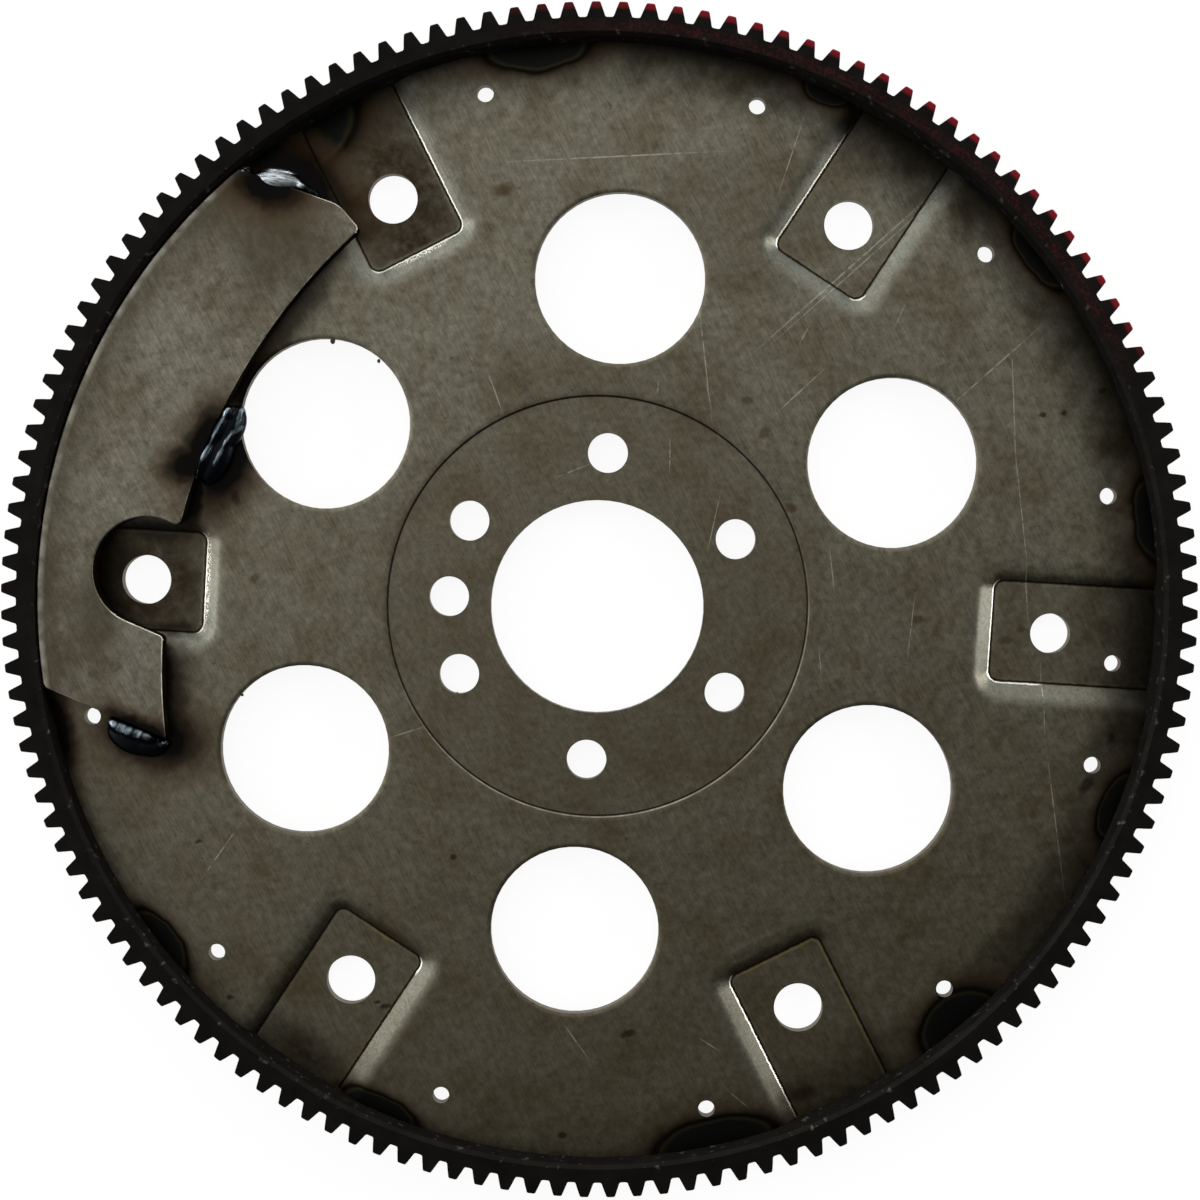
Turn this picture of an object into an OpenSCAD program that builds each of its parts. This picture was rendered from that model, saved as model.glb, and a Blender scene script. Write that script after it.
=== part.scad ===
// Starter ring flexplate with a welded balance weight.
// Millimetres. Origin on the pilot bore's axis in the crank flange face, +Z towards the engine,
// the smallest converter hole on +X.

/* [Disc] */
// Thickness of the pressed sheet
disc_t = 3.2; // [2.6:0.1:4]
// Diameter of the disc's rim, which the ring gear seats on
disc_d = 334.4; // [332:0.2:344]
// Diameter of the crank pilot bore
bore_d = 64; // [50:0.5:70]
// Diameter of the flat that seats on the crank flange
hub_d = 126; // [120:0.5:136]
// How far the crank flat is set back from the disc's face
hub_step = 0.8; // [0.3:0.1:1.5]
// Width of the rounded slope around the crank flat
hub_slope = 1.8; // [0.8:0.1:3]
// Height of the crisp step at the foot of that slope
hub_crease = 0.3; // [0.1:0.05:0.3]

/* [Crank holes] */
// Bolt circle of the crank flange
crank_pcd = 92.4; // [90:0.1:100]
// Number of crank bolts
crank_n = 6; // [4:1:8]
// Diameter of a crank bolt hole
crank_hole_d = 12; // [9:0.1:14]
// Angle of the first crank hole, and of the first lightening hole
crank_a = 29.4; // [20:0.1:40]
// Distance of the index hole from the axis
index_r = 44.6; // [43:0.1:48]
// Angle of the index hole from the first crank hole
index_turn_a = 150; // [145:0.5:155]
// Diameter of the index hole
index_d = 12; // [6:0.1:12]

/* [Lightening and rim holes] */
// Circle that the lightening holes lie on
light_pcd = 196.2; // [190:0.2:200]
// Diameter of a lightening hole
light_d = 50.8; // [40:0.2:54]
// Number of lightening holes
light_n = 6; // [6:1:6]
// Width of the rolled edge that the punch leaves around a lightening hole
roll_w = 1.4; // [0.6:0.1:2.4]
// Height of that rolled edge
roll_h = 0.35; // [0.1:0.05:0.8]
// Distance of the small rim holes from the disc's rim
rim_in = 11.45; // [9.2:0.05:13.2]
// Diameter of a small rim hole
rim_hole_d = 5; // [3:0.1:7]
// Number of small rim holes
rim_n = 12; // [6:6:12]
// Angle of the first rim hole
rim_a = 15.67; // [13:0.01:17]

/* [Converter pads] */
// Distance of the converter bolt circle from the disc's rim
conv_in = 30.675; // [27.2:0.025:33.2]
// Diameter of a converter hole
conv_hole_d = 14.8; // [11:0.1:17]
// Diameter of the one close converter hole
conv_close_d = 12; // [9:0.1:14]
// Number of pads
pad_n = 6; // [6:1:6]
// How deep a pad is drawn
pad_depth = 3.5; // [2:0.1:4.5]
// Width of a pad's flat
pad_w = 30.4; // [26:0.2:34]
// Distance of a pad's inner edge from the converter bolt circle
pad_in = 17.725; // [14.5:0.025:20.5]
// Corner radius of a pad's flat
pad_corner = 3; // [1.5:0.1:5]
// Width of the slope around a pad
pad_slope = 7.4; // [5:0.1:9]
// Width of the slope's rounded shoulder, above its straight ramp
pad_shoulder = 3.4; // [1.5:0.1:4.5]
// Height of the crisp step at the foot of the slope
pad_step = 0.4; // [0.2:0.05:0.8]
// How far a pad's flat runs on under the ring
pad_lip = 1.2; // [0.6:0.1:2]
// Clearance between that lip and the ring
pad_lip_gap = 0.2; // [0.1:0.05:0.4]
// Distance of the small extra hole in one pad from the converter bolt circle
pad_hole_out = 19.475; // [15.5:0.025:23.4]
// Angle of the small extra hole
pad_hole_a = -2.9; // [-3.6:0.1:-2]
// Diameter of the small extra hole
pad_hole_d = 4.9; // [3:0.1:6]

/* [Ring gear] */
// Number of teeth
ring_teeth = 139; // [120:1:168]
// Whole depth of a tooth
tooth_depth = 4.6; // [4:0.1:5.4]
// Radial wall between the ring's bore and the tooth roots
ring_wall = 5.1; // [4.2:0.1:7]
// Width of the ring gear
ring_w = 10.2; // [9:0.1:14]
// Radial clearance between the disc's rim and the ring
ring_seat_gap = 0.1; // [0.05:0.01:0.2]
// Chamfer on the ring's bore, both ends
ring_chamfer = 1.1; // [0.4:0.1:1.8]
// Bevel on the tooth tips, both ends
tip_bevel = 0.5; // [0.2:0.1:1]
// Pressure angle of the teeth
pressure_a = 20; // [18:0.5:25]
// Angle of the first tooth
tooth_a = 0.21; // [0:0.01:2.58]

/* [Balance weight] */
// Thickness of the weight
weight_t = 4.8; // [3:0.1:6.5]
// Widest radial width of the weight
weight_w = 41.6; // [38:0.2:44]
// Radius of the weight's inner edge
weight_in_r = 176; // [150:1:220]
// Direction of the middle of the weight
weight_a = 159.4; // [158:0.1:161]
// Angle of the upper outer corner
weight_top_a = 132.6; // [131:0.1:136]
// Direction of the upper edge
weight_top_dir = -16.2; // [-20:0.2:-12]
// Length of the upper edge before its clipped corner
weight_top_len = 31.4; // [26:0.2:34]
// Direction of the clipped corner
weight_clip_dir = -46.5; // [-55:0.5:-40]
// Radius that blends the upper edge into the clipped corner
weight_blend = 9; // [3:0.5:12]
// Angle of the lower outer corner
weight_low_a = 191.6; // [189.5:0.1:192]
// Direction of the lower edge
weight_low_dir = -19.8; // [-24:0.2:-16]
// Radius of the lower outer corner
weight_corner = 2.4; // [0.5:0.1:4]
// Radius of the small corners along the inner edge
weight_edge_r = 1.5; // [0.5:0.1:2.5]
// Clearance between the weight and the disc's rim, inside the ring
weight_gap = 0.2; // [0.1:0.05:0.6]
// Radius of the notch for the converter bolt
notch_r = 16.1; // [14:0.1:18]
// How far the notch's centre lies inside the bolt circle
notch_in = 2.1; // [0:0.1:5]
// How far the notch's centre lies to the side of the bolt
notch_side = 2.9; // [0:0.1:5]
// Half opening of the notch on its upper side
notch_lip = 14.3; // [10:0.1:15]

/* [Weld beads] */
// How far a bead rises above the weight
bead_rise = 0.9; // [0.5:0.1:2]
// Half width of the upper bead
bead_top_w = 4.4; // [3:0.1:6]
// Length of the upper bead
bead_top_len = 22; // [14:0.5:24]
// How far the upper bead runs past the weight's outer corner, up to the ring
bead_top_over = 1.5; // [0:0.1:3]
// Half width of the inner bead
bead_in_w = 6; // [4:0.1:7]
// Length of the inner bead
bead_in_len = 28; // [18:0.5:32]
// Angle of the inner bead's middle from the weight's own
bead_in_a = 0.6; // [-4:0.1:4]
// Half width of the lower bead
bead_low_w = 8; // [5:0.1:9]
// Length of the lower bead
bead_low_len = 21.5; // [14:0.5:24]
// Distance of the lower bead's end from the weight's inner edge
bead_low_in = 1; // [-1:0.1:6]
// Half width of a bead on the ring's seam
seam_w = 3.8; // [2.5:0.1:4.4]
// Height of a bead on the ring's seam
seam_h = 1.8; // [1:0.1:3]
// Pitch of the ripples along a bead
ripple = 2.2; // [1.6:0.1:4]
// Clearance between a bead and what it was laid on, where that is curved
bead_gap = 0.05; // [0.02:0.01:0.1]

/* [View] */
// Node to draw

/* [Hidden] */
$fn = 96;
eps = 0.01;
disc_r = disc_d / 2;
conv_r = disc_r - conv_in;
rim_r = disc_r - rim_in;
pad_in_r = conv_r - pad_in;
face_z = hub_step;
back_z = face_z - disc_t;
ring_bore_r = disc_r + ring_seat_gap;
root_r = ring_bore_r + ring_wall;
tip_r = root_r + tooth_depth;
// The teeth are half a pitch thick at half their depth.
pitch_r = (root_r + tip_r) / 2;
base_r = pitch_r * cos(pressure_a);
// Middle and half span, in degrees, of the beads along the ring's seam
seam_at = [
    [12.6, 4.4], [42.1, 4.2], [70.4, 2.3], [98.6, 5.6], [132.4, 4], [159, 4],
    [193.2, 4.2], [220.7, 4.2], [251.4, 3.2], [285.4, 5.8], [314.1, 4.2], [342.2, 3.8]
];

function seam_name(i) = str("seam_weld_", i + 1);

// Plane helpers
function dir(a) = [cos(a), sin(a)];
function unit(v) = v / norm(v);
function turn(v) = [-v.y, v.x];
function to_deg(v) = v * 180 / PI;

// Corner b between a and c, rounded by r in n steps
function corner(a, b, c, r, n) =
    let (u = unit(a - b), v = unit(c - b), half = acos(u * v) / 2,
         m = b + unit(u + v) * r / sin(half),
         p = b + u * r / tan(half) - m, q = b + v * r / tan(half) - m,
         a0 = atan2(p.y, p.x),
         sweep = atan2(p.x * q.y - p.y * q.x, p * q))
    [for (i = [0 : n]) m + r * dir(a0 + sweep * i / n)];

// A stack of level outlines closed to one solid; the outlines have as many points each
module loft(levels) {
    n = len(levels[0]);
    top = len(levels) - 1;
    polyhedron(
        points = [for (l = levels) each l],
        faces = concat(
            [[for (i = [0 : n - 1]) i]],
            [for (k = [0 : top - 1], i = [0 : n - 1])
                [k * n + i, (k + 1) * n + i, (k + 1) * n + (i + 1) % n, k * n + (i + 1) % n]],
            [[for (i = [n - 1 : -1 : 0]) top * n + i]]
        ),
        convexity = 4
    );
}

// Rounded shoulder, as distance and height from the flat that it runs out to: a parabola in n steps
function shoulder(run, fall, k, n) = [run * (k / n - 1), -fall * pow(1 - k / n, 2)];
shoulder_n = 5;
// Run of the step at the foot of the crank flat's slope
hub_foot = 0.12;
// The last point of a slope carried on past the flat
function run_out(p, q) = 2 * q - p;

// Converter pads. d is the distance outside the pad's flat.
pad_foot = 0.25;
pad_back_z = face_z - pad_depth - disc_t;
// Rise of a lip's underside from the pad's back
pad_lip_rise = 0.2;

// Outline of the pad's flat, moved out by d, at height z, open end beyond the disc's rim
function pad_outline(d, z, n = 6) =
    let (h = pad_w / 2, x = pad_in_r + pad_corner, y = h - pad_corner, r = pad_corner + d,
         far = disc_r + 2 * pad_slope)
    concat(
        [[far, h + d, z]],
        [for (i = [0 : n]) [x + r * cos(90 + 90 * i / n), y + r * sin(90 + 90 * i / n), z]],
        [for (i = [0 : n]) [x + r * cos(180 + 90 * i / n), r * sin(180 + 90 * i / n) - y, z]],
        [[far, -h - d, z]]
    );

// Slope as distance and height from the disc's face: point 0 is the foot of a straight ramp, and
// the shoulder follows it up to the last point
pad_last = shoulder_n + 1;
pad_fall = pad_depth - pad_step;
pad_grade = pad_fall / (pad_slope - pad_foot - pad_shoulder / 2);
function slope_a(k) = atan(pad_grade * (1 - max(k - 1, 0) / shoulder_n));
function slope_pt(k) = k == 0
    ? [pad_foot, -pad_fall]
    : [pad_slope, 0] + shoulder(pad_shoulder, pad_grade * pad_shoulder / 2, k - 1, shoulder_n);
// The same on the sheet's underside, moved along the slope's normal by the sheet's thickness
function under_pt(k) = slope_pt(k) + disc_t * [sin(slope_a(k)), -cos(slope_a(k))];
function pad_level(p) = pad_outline(p.x, p.y);

module pad_recess() {
    out = run_out(slope_pt(pad_last - 1), slope_pt(pad_last));
    translate([0, 0, face_z])
        loft(concat(
            [pad_outline(0, -pad_depth)],
            [for (k = [0 : pad_last - 1]) pad_level(slope_pt(k))],
            [pad_level(out), pad_outline(out.x, disc_t)]
        ));
}

module pad_boss() {
    bend = slope_a(0);
    out = run_out(under_pt(pad_last - 1), under_pt(pad_last));
    translate([0, 0, face_z])
        loft(concat(
            [for (k = [0 : 3])
                pad_outline(disc_t * sin(bend * k / 4), -pad_depth - disc_t * cos(bend * k / 4))],
            [for (k = [0 : pad_last - 1]) pad_level(under_pt(k))],
            [pad_level(out), pad_outline(out.x, -disc_t / 2)]
        ));
}

// Lip that carries a pad's flat on under the ring
module pad_lip_block() {
    low_z = pad_back_z + pad_lip_rise;
    translate([conv_r, pad_lip - pad_w / 2, low_z])
        cube([conv_in + 2 * pad_lip, pad_w - 2 * pad_lip, back_z - pad_lip_gap - low_z]);
}

// Everything within r of the axis, over the height of the disc and its pads
module within(r) {
    translate([0, 0, pad_back_z - disc_t])
        cylinder(r = r, h = pad_depth + 4 * disc_t);
}

module pads_all() {
    for (k = [0 : pad_n - 1]) rotate(360 / pad_n * k) children();
}

module disc_sheet() {
    b = bore_d / 2;
    h = hub_d / 2;
    top = [h + hub_slope, face_z];
    foot = hub_slope - hub_foot;
    rotate_extrude()
        polygon(concat(
            [[b, 0], [b, -disc_t], [h, -disc_t], [h + hub_slope, back_z], [disc_r, back_z], [disc_r, face_z]],
            [for (k = [shoulder_n : -1 : 0]) top + shoulder(foot, hub_step - hub_crease, k, shoulder_n)],
            [[h, 0]]
        ));
}

// A drilled or punched hole right through the disc
module punch(r, a, d) {
    translate(concat(r * dir(a), pad_back_z - disc_t))
        cylinder(d = d, h = pad_depth + 4 * disc_t);
}

// A large punched hole, whose edge the punch rolled over
module rolled_punch(r, a, d) {
    edge = [for (k = [0 : shoulder_n]) [d / 2 + roll_w, 0] + shoulder(roll_w, roll_h, k, shoulder_n)];
    low = run_out(edge[1], edge[0]);
    out = run_out(edge[shoulder_n - 1], edge[shoulder_n]);
    punch(r, a, d);
    translate(concat(r * dir(a), face_z))
        rotate_extrude()
            polygon(concat(
                [[0, low.y], low], [for (k = [0 : shoulder_n - 1]) edge[k]],
                [out, [out.x, disc_t], [0, disc_t]]
            ));
}

module flex_disc() {
    color("#6b6a62")
        difference() {
            union() {
                disc_sheet();
                intersection() {
                    within(disc_r);
                    pads_all() pad_boss();
                }
                intersection() {
                    within(disc_r + pad_lip);
                    pads_all() pad_lip_block();
                }
            }
            pads_all() pad_recess();
            for (k = [0 : crank_n - 1]) punch(crank_pcd / 2, crank_a + 360 / crank_n * k, crank_hole_d);
            punch(index_r, crank_a + index_turn_a, index_d);
            for (k = [0 : light_n - 1])
                rolled_punch(light_pcd / 2, crank_a + 360 / light_n * k, light_d);
            for (k = [0 : pad_n - 1])
                punch(conv_r, 360 / pad_n * k, k == 0 ? conv_close_d : conv_hole_d);
            for (k = [0 : rim_n - 1]) punch(rim_r, rim_a + 360 / rim_n * k, rim_hole_d);
            punch(conv_r + pad_hole_out, pad_hole_a, pad_hole_d);
        }
}

// Ring gear. Half angle of a tooth at radius r, from the involute of the base circle.
function inv(a) = to_deg(tan(a)) - a;
function half_a(r) = 90 / ring_teeth + inv(pressure_a) - inv(acos(min(1, base_r / r)));
root_fillet = 0.8;
tip_round = 0.3;
// One flank from the root to the tip, as radius and half angle
flank = concat(
    [[root_r, half_a(root_r + root_fillet) + to_deg(root_fillet * 0.85 / root_r)],
     [root_r + root_fillet * 0.25, half_a(root_r + root_fillet) + to_deg(root_fillet * 0.3 / root_r)]],
    [for (k = [0 : 3])
        let (r = root_r + root_fillet + (tooth_depth - root_fillet - tip_round) * k / 3) [r, half_a(r)]],
    [[tip_r, half_a(tip_r) - to_deg(tip_round * 0.8 / tip_r)]]
);

module ring_blank() {
    c = ring_chamfer;
    top = face_z - disc_t + ring_w;
    t = tip_bevel;
    rotate_extrude($fn = 240)
        polygon([
            [ring_bore_r + c / 4, back_z], [tip_r - t, back_z], [tip_r + eps, back_z + t + eps],
            [tip_r + eps, top - t - eps], [tip_r - t, top], [ring_bore_r + c, top],
            [ring_bore_r, top - c], [ring_bore_r, back_z + c / 4]
        ]);
}

module ring_gear() {
    last = len(flank) - 1;
    color("#232226")
        intersection() {
            ring_blank();
            translate([0, 0, back_z - 1])
                linear_extrude(height = ring_w + 2, convexity = 6)
                    polygon([
                        for (i = [0 : ring_teeth - 1])
                            let (a = tooth_a + 360 / ring_teeth * i)
                            each concat(
                                [for (k = [0 : last]) flank[k][0] * dir(a - flank[k][1])],
                                [for (k = [last : -1 : 0]) flank[k][0] * dir(a + flank[k][1])])
                    ]);
        }
}

// Balance weight
weight_r = disc_r - weight_gap;
weight_c = -(weight_in_r - weight_r + weight_w) * dir(weight_a);
top_p = weight_r * dir(weight_top_a);
low_p = weight_r * dir(weight_low_a);
low_end = low_p + 1.4 * weight_w * dir(weight_low_dir);
clip_p = top_p + weight_top_len * dir(weight_top_dir);
notch_c = [notch_in - conv_r, notch_side];
notch_low = notch_c - notch_r * turn(dir(weight_low_dir));
notch_top = notch_c + [0, notch_lip];

// Where the line from p along d enters the circle of the weight's inner edge
function in_hit(p, d) =
    let (q = p - weight_c, b = q * d) p - (b + sqrt(b * b - q * q + pow(weight_in_r, 2))) * d;
// A point beside p, along the inner edge, and one well inside that circle
function in_tangent(p, way) = p + way * weight_w * turn(unit(p - weight_c));
function in_side(p) = weight_c + 0.8 * (p - weight_c);

module balance_weight() {
    far = 1.4 * weight_r;
    span = weight_low_a - weight_top_a;
    clip_q = in_hit(clip_p, dir(weight_clip_dir));
    low_q = in_hit(notch_low, dir(weight_low_dir));
    lip_q = in_hit(notch_top, [1, 0]);
    color("#77746a")
        translate([0, 0, face_z])
            difference() {
                intersection() {
                    cylinder(r = weight_r, h = weight_t);
                    linear_extrude(height = weight_t)
                        polygon(concat(
                            [top_p - weight_w / 5 * dir(weight_top_dir)],
                            [for (k = [1 : 6]) far * dir(weight_top_a + span * k / 7)],
                            corner(low_p - weight_w / 4 * turn(dir(weight_low_a)), low_p, low_end,
                                weight_corner, 6),
                            [low_end, in_side(clip_q)],
                            corner(in_tangent(clip_q, 1), clip_q, clip_p, weight_edge_r, 5),
                            corner(clip_q, clip_p, top_p, weight_blend, 8)));
                }
                translate([0, 0, -1]) {
                    translate(weight_c) cylinder(r = weight_in_r, h = weight_t + 2);
                    translate(notch_c) cylinder(r = notch_r, h = weight_t + 2);
                    linear_extrude(height = weight_t + 2)
                        polygon(concat(
                            [notch_c, notch_low],
                            corner(notch_low, low_q, in_tangent(low_q, 1), weight_edge_r, 5),
                            [in_side(low_q), in_side(lip_q)],
                            corner(in_tangent(lip_q, -1), lip_q, notch_top, weight_edge_r, 5),
                            [notch_top]));
                }
            }
}

// Weld beads. A rippled mound on the plane z = 0: l long, w wide to each side of its seam, h high,
// along X or, with bend, along an arc of that radius with Y away from the arc's centre.
// With step, it is laid against a plate of that thickness on its +Y side and laps over its edge.
bead_n = 18;
bead_m = 8;

function seam_xy(s, y, bend) =
    bend == 0 ? [s, y] : [(bend + y) * sin(to_deg(s / bend)), (bend + y) * cos(to_deg(s / bend)) - bend];

module bead(l, w, h, bend = 0, step = 0) {
    difference() {
        loft([
            for (i = [0 : bead_n])
                let (s = -cos(180 * i / bead_n) * 0.985, k = sqrt(1 - s * s),
                     wave = 1 + 0.05 * cos(180 * s * l / ripple))
                [for (j = [0 : bead_m])
                    concat(seam_xy(s * l / 2, w * pow(k, 0.7) * wave * cos(180 * j / bead_m), bend),
                        h * k * wave * sin(180 * j / bead_m))]
        ]);
        if (step > 0)
            translate([0, 0, -step])
                linear_extrude(height = 2 * step + bead_gap)
                    polygon(concat(
                        [for (i = [-6 : 6]) seam_xy(i * l / 10, -bead_gap, bend)],
                        [[0.7 * l, 2 * w], [-0.7 * l, 2 * w]]));
    }
}

bead_h = weight_t + bead_rise;

// The beads beside the weight, each laid along one of its edges
module weight_bead(p, a, l, w, bend = 0) {
    color("#4a4a4d") translate(concat(p, face_z)) rotate(a) bead(l, w, bead_h, bend, weight_t);
}

module weight_weld_upper() {
    p = top_p + (bead_top_len / 2 - bead_top_over) * dir(weight_top_dir);
    intersection() {
        weight_bead(p, weight_top_dir + 180, bead_top_len, bead_top_w);
        cylinder(r = disc_r, h = 4 * bead_h);
    }
}

module weight_weld_inner() {
    a = weight_a + bead_in_a;
    weight_bead(weight_c + weight_in_r * dir(a), a - 90, bead_in_len, bead_in_w, weight_in_r);
}

module weight_weld_lower() {
    p = in_hit(low_p, dir(weight_low_dir)) - (bead_low_in + bead_low_len / 2) * dir(weight_low_dir);
    weight_bead(p, weight_low_dir, bead_low_len, bead_low_w);
}

// A bead across the seam between the ring's back and the disc's back
module seam_weld(i) {
    a = seam_at[i][0];
    color("#4a4a4d")
        translate(concat(disc_r * dir(a), back_z))
            rotate(a - 90) rotate([0, 180, 0])
                bead(seam_at[i][1] * PI / 90 * disc_r, seam_w, seam_h, disc_r);
}

flex_disc();
ring_gear();
balance_weight();
weight_weld_upper();
weight_weld_inner();
weight_weld_lower();
for (i = [0 : len(seam_at) - 1])
    seam_weld(i);
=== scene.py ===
"""Dresses the flexplate: worn pressed disc, black starter ring, balance weight and weld beads."""

import math

import bpy
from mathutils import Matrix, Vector


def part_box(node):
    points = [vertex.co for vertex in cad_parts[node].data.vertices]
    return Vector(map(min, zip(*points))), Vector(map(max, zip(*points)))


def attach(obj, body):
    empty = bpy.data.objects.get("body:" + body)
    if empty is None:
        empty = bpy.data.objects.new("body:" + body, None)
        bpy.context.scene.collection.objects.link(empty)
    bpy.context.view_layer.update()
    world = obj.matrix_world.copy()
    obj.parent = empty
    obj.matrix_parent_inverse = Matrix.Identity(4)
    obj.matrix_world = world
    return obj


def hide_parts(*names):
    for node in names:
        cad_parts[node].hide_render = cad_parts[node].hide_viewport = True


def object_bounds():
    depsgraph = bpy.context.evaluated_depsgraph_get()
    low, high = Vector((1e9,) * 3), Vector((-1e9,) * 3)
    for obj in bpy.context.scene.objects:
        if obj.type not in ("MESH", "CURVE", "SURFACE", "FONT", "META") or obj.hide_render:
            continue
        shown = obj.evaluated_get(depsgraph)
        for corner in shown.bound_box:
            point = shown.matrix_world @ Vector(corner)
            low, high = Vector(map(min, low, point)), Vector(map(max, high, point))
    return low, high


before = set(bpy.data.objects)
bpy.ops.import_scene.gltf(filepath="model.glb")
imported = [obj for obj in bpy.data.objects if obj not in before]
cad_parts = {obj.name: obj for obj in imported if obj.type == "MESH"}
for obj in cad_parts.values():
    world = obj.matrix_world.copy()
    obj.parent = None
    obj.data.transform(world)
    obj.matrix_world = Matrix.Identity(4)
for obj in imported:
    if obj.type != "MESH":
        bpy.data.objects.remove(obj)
CAD_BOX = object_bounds()

bl_info = {
    "name": "Flexplate finish",
    "version": (1, 0, 0),
    "blender": (4, 5, 0),
    "location": "3D View > Sidebar > Flexplate",
    "description": "Finishes the pieces of a flexplate and sets them on a pale studio floor",
    "category": "Object",
}

MM = 0.001
# Dull metal stays dark at a grazing angle.
EDGE_TINT = (0.3, 0.3, 0.3, 1.0)
BODY = "root"

# Heights of the flat faces, from the pieces that lie there.
DISC_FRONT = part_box("balance_weight")[0].z
DISC_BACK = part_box("ring_gear")[0].z
REST_PLANE = CAD_BOX[0].z

# Plan of the disc in millimetres: its rim, the edge of its crank flat, and its six drawn pads.
RIM_R = 167.2
HUB_R = 63.0
PAD_COUNT = 6
PAD_INNER = 118.8
PAD_HALF_WIDTH = 15.2
PAD_CORNER = 3.0

# Corners that are merged, angles past which an edge stays sharp, from which an edge of the weight
# is rubbed, and within which its faces are flat.
MERGE_WITHIN = 0.002 * MM
DISC_SHARP = math.radians(31)
WEIGHT_SHARP = math.radians(40)
BEAD_SHARP = math.radians(50)
RUBBED_FROM = math.radians(60)
FLAT_WITHIN = math.radians(0.2)

# Drops that are melted into a piece: x, y, z and three half sizes in millimetres, turn in degrees.
UPPER_BEAD = (
    (-101.6, 120.5, 2.6, 7.6, 3.4, 3.9, -6.0), (-101.4, 122.6, 2.4, 5.6, 1.6, 3.6, -4.0),
    (-111.4, 122.6, 2.6, 2.2, 1.5, 3.3, 20.0), (-109.2, 121.0, 2.4, 2.6, 1.3, 3.2, -25.0),
    (-94.6, 119.0, 2.2, 3.0, 1.6, 3.0, -20.0), (-91.6, 117.6, 1.8, 2.6, 1.5, 2.6, -18.0),
)
INNER_BEAD = (
    (-112.6, 46.6, 1.6, 7.6, 4.4, 2.9, 68.0), (-116.2, 38.0, 1.6, 9.0, 4.6, 2.9, 70.0),
    (-115.4, 46.2, 2.8, 7.0, 1.9, 3.0, 65.0), (-119.2, 37.6, 2.8, 7.4, 1.8, 3.0, 68.0),
    (-112.9, 51.2, 2.6, 2.6, 1.9, 3.2, 60.0), (-112.4, 43.4, 1.8, 5.4, 1.6, 2.9, 60.0),
    (-115.4, 37.4, 1.8, 5.6, 1.6, 2.9, 67.0), (-110.0, 49.4, 1.5, 4.4, 1.8, 2.5, 80.0),
    (-110.4, 46.4, 1.4, 2.8, 1.6, 2.4, 40.0),
)
LOWER_BEAD = (
    (-141.0, -44.1, 2.2, 4.2, 2.4, 3.5, -24.0), (-137.4, -45.3, 2.4, 4.6, 2.6, 3.6, -16.0),
    (-133.6, -46.4, 2.2, 4.4, 2.4, 3.4, -16.0),
    (-138.0, -47.8, 0.9, 7.8, 4.6, 2.9, -24.0), (-133.4, -49.2, 0.8, 6.8, 4.0, 2.7, -10.0),
    (-127.6, -48.9, 1.3, 1.9, 1.7, 2.3, 0.0),
)
# Burrs on the edges of punched holes.
BURRS = (
    (-83.6, 74.7, -0.2, 0.85, 1.15, 0.9, 0.0), (-69.5, 69.5, -0.2, 0.6, 0.8, 0.9, 0.0),
    (-105.3, -33.0, -0.2, 0.6, 0.6, 0.8, 0.0), (-40.6, -28.7, -1.0, 0.6, 0.6, 0.7, 0.0),
)
# Gap that keeps a bead's cut face off the plate.
BEAD_LIFT = 0.05 * MM

# Seam welds on the back: angle and half span in degrees, then the half sizes of a drop and the room
# for the last one in millimetres, and the share by which a bead's ends are smaller.
SEAM_WELDS = (
    (12.6, 4.4), (42.1, 4.2), (70.4, 2.3), (98.6, 5.6), (132.4, 4.0), (159.0, 4.0),
    (193.2, 4.2), (220.7, 4.2), (251.4, 3.2), (285.4, 5.8), (314.1, 4.2), (342.2, 3.8),
)
SEAM_DROP = (2.0, 3.7, 1.85)
SEAM_END = 1.6
SEAM_TAPER = 0.25

# Dark dirt at the pads' outer corners, which also stands in for the ring's shade there: distances from a
# pad's middle line, place and half sizes.
PAD_CORNER_REACH = (14.2, 15.6, 17.0)
CORNER_FILL_R = 168.0
CORNER_FILL_Z = -3.6
CORNER_FILL_DROP = (1.8, 0.9, 1.1)
# A height at which the cut takes nothing from the corner dirt and the burrs.
BELOW_FILL_AND_BURRS = (CORNER_FILL_Z - 3) * MM

# Heat tint that shows at the rim in front of each seam weld: angle, half span, depth in mm.
RIM_TINTS = (
    (12.4, 5.0, 6.0), (41.9, 4.6, 5.5), (69.4, 3.0, 4.5), (99.4, 6.2, 8.5), (126.0, 8.0, 14.0),
    (220.9, 4.8, 6.5), (249.9, 4.9, 6.0), (285.9, 7.4, 9.5), (314.2, 5.2, 11.0), (342.4, 4.3, 6.0),
)

# Ovals are x, y, half length, half width in millimetres and direction in degrees.
# Soot round the weight's welds, on the disc and on the weight. The disc's ovals also hold painted shade in
# the gaps beside the weight and in the corner by the ring.
WELD_SOOT_AND_SHADE = (
    (-98.0, 122.5, 21.0, 9.5, -32.0),
    (-113.5, 38.0, 17.5, 9.5, 74.0), (-106.5, 60.5, 11.0, 5.5, 60.0), (-123.0, 25.5, 9.0, 4.5, 80.0),
    (-129.5, -32.0, 13.0, 3.5, 94.0),
    (-131.5, -46.5, 16.0, 10.0, -16.0),
    (-161.0, -46.0, 15.0, 5.5, 106.0),
)
WEIGHT_SOOT = (
    (-104.0, 118.5, 11.5, 7.2, -14.0),
    (-118.5, 41.0, 14.0, 7.0, 74.0), (-122.0, 35.5, 9.0, 6.5, 15.0),
    (-134.0, -45.0, 13.5, 4.4, -20.0),
)
# Shade on the disc beside the weight and in its notch, and the notch itself.
WEIGHT_SHADE = (
    (-95.8, 80.7, 30.0, 6.5, 55.0), (-126.0, -30.0, 18.0, 7.5, 94.0),
    (-146.0, 3.0, 12.0, 19.0, 0.0), (-133.0, 15.0, 19.0, 7.0, 0.0), (-127.0, -14.5, 11.0, 3.5, 0.0),
)
WEIGHT_NOTCH = ((-134.0, 5.0, 19.0, 17.0, 0.0),)
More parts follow.
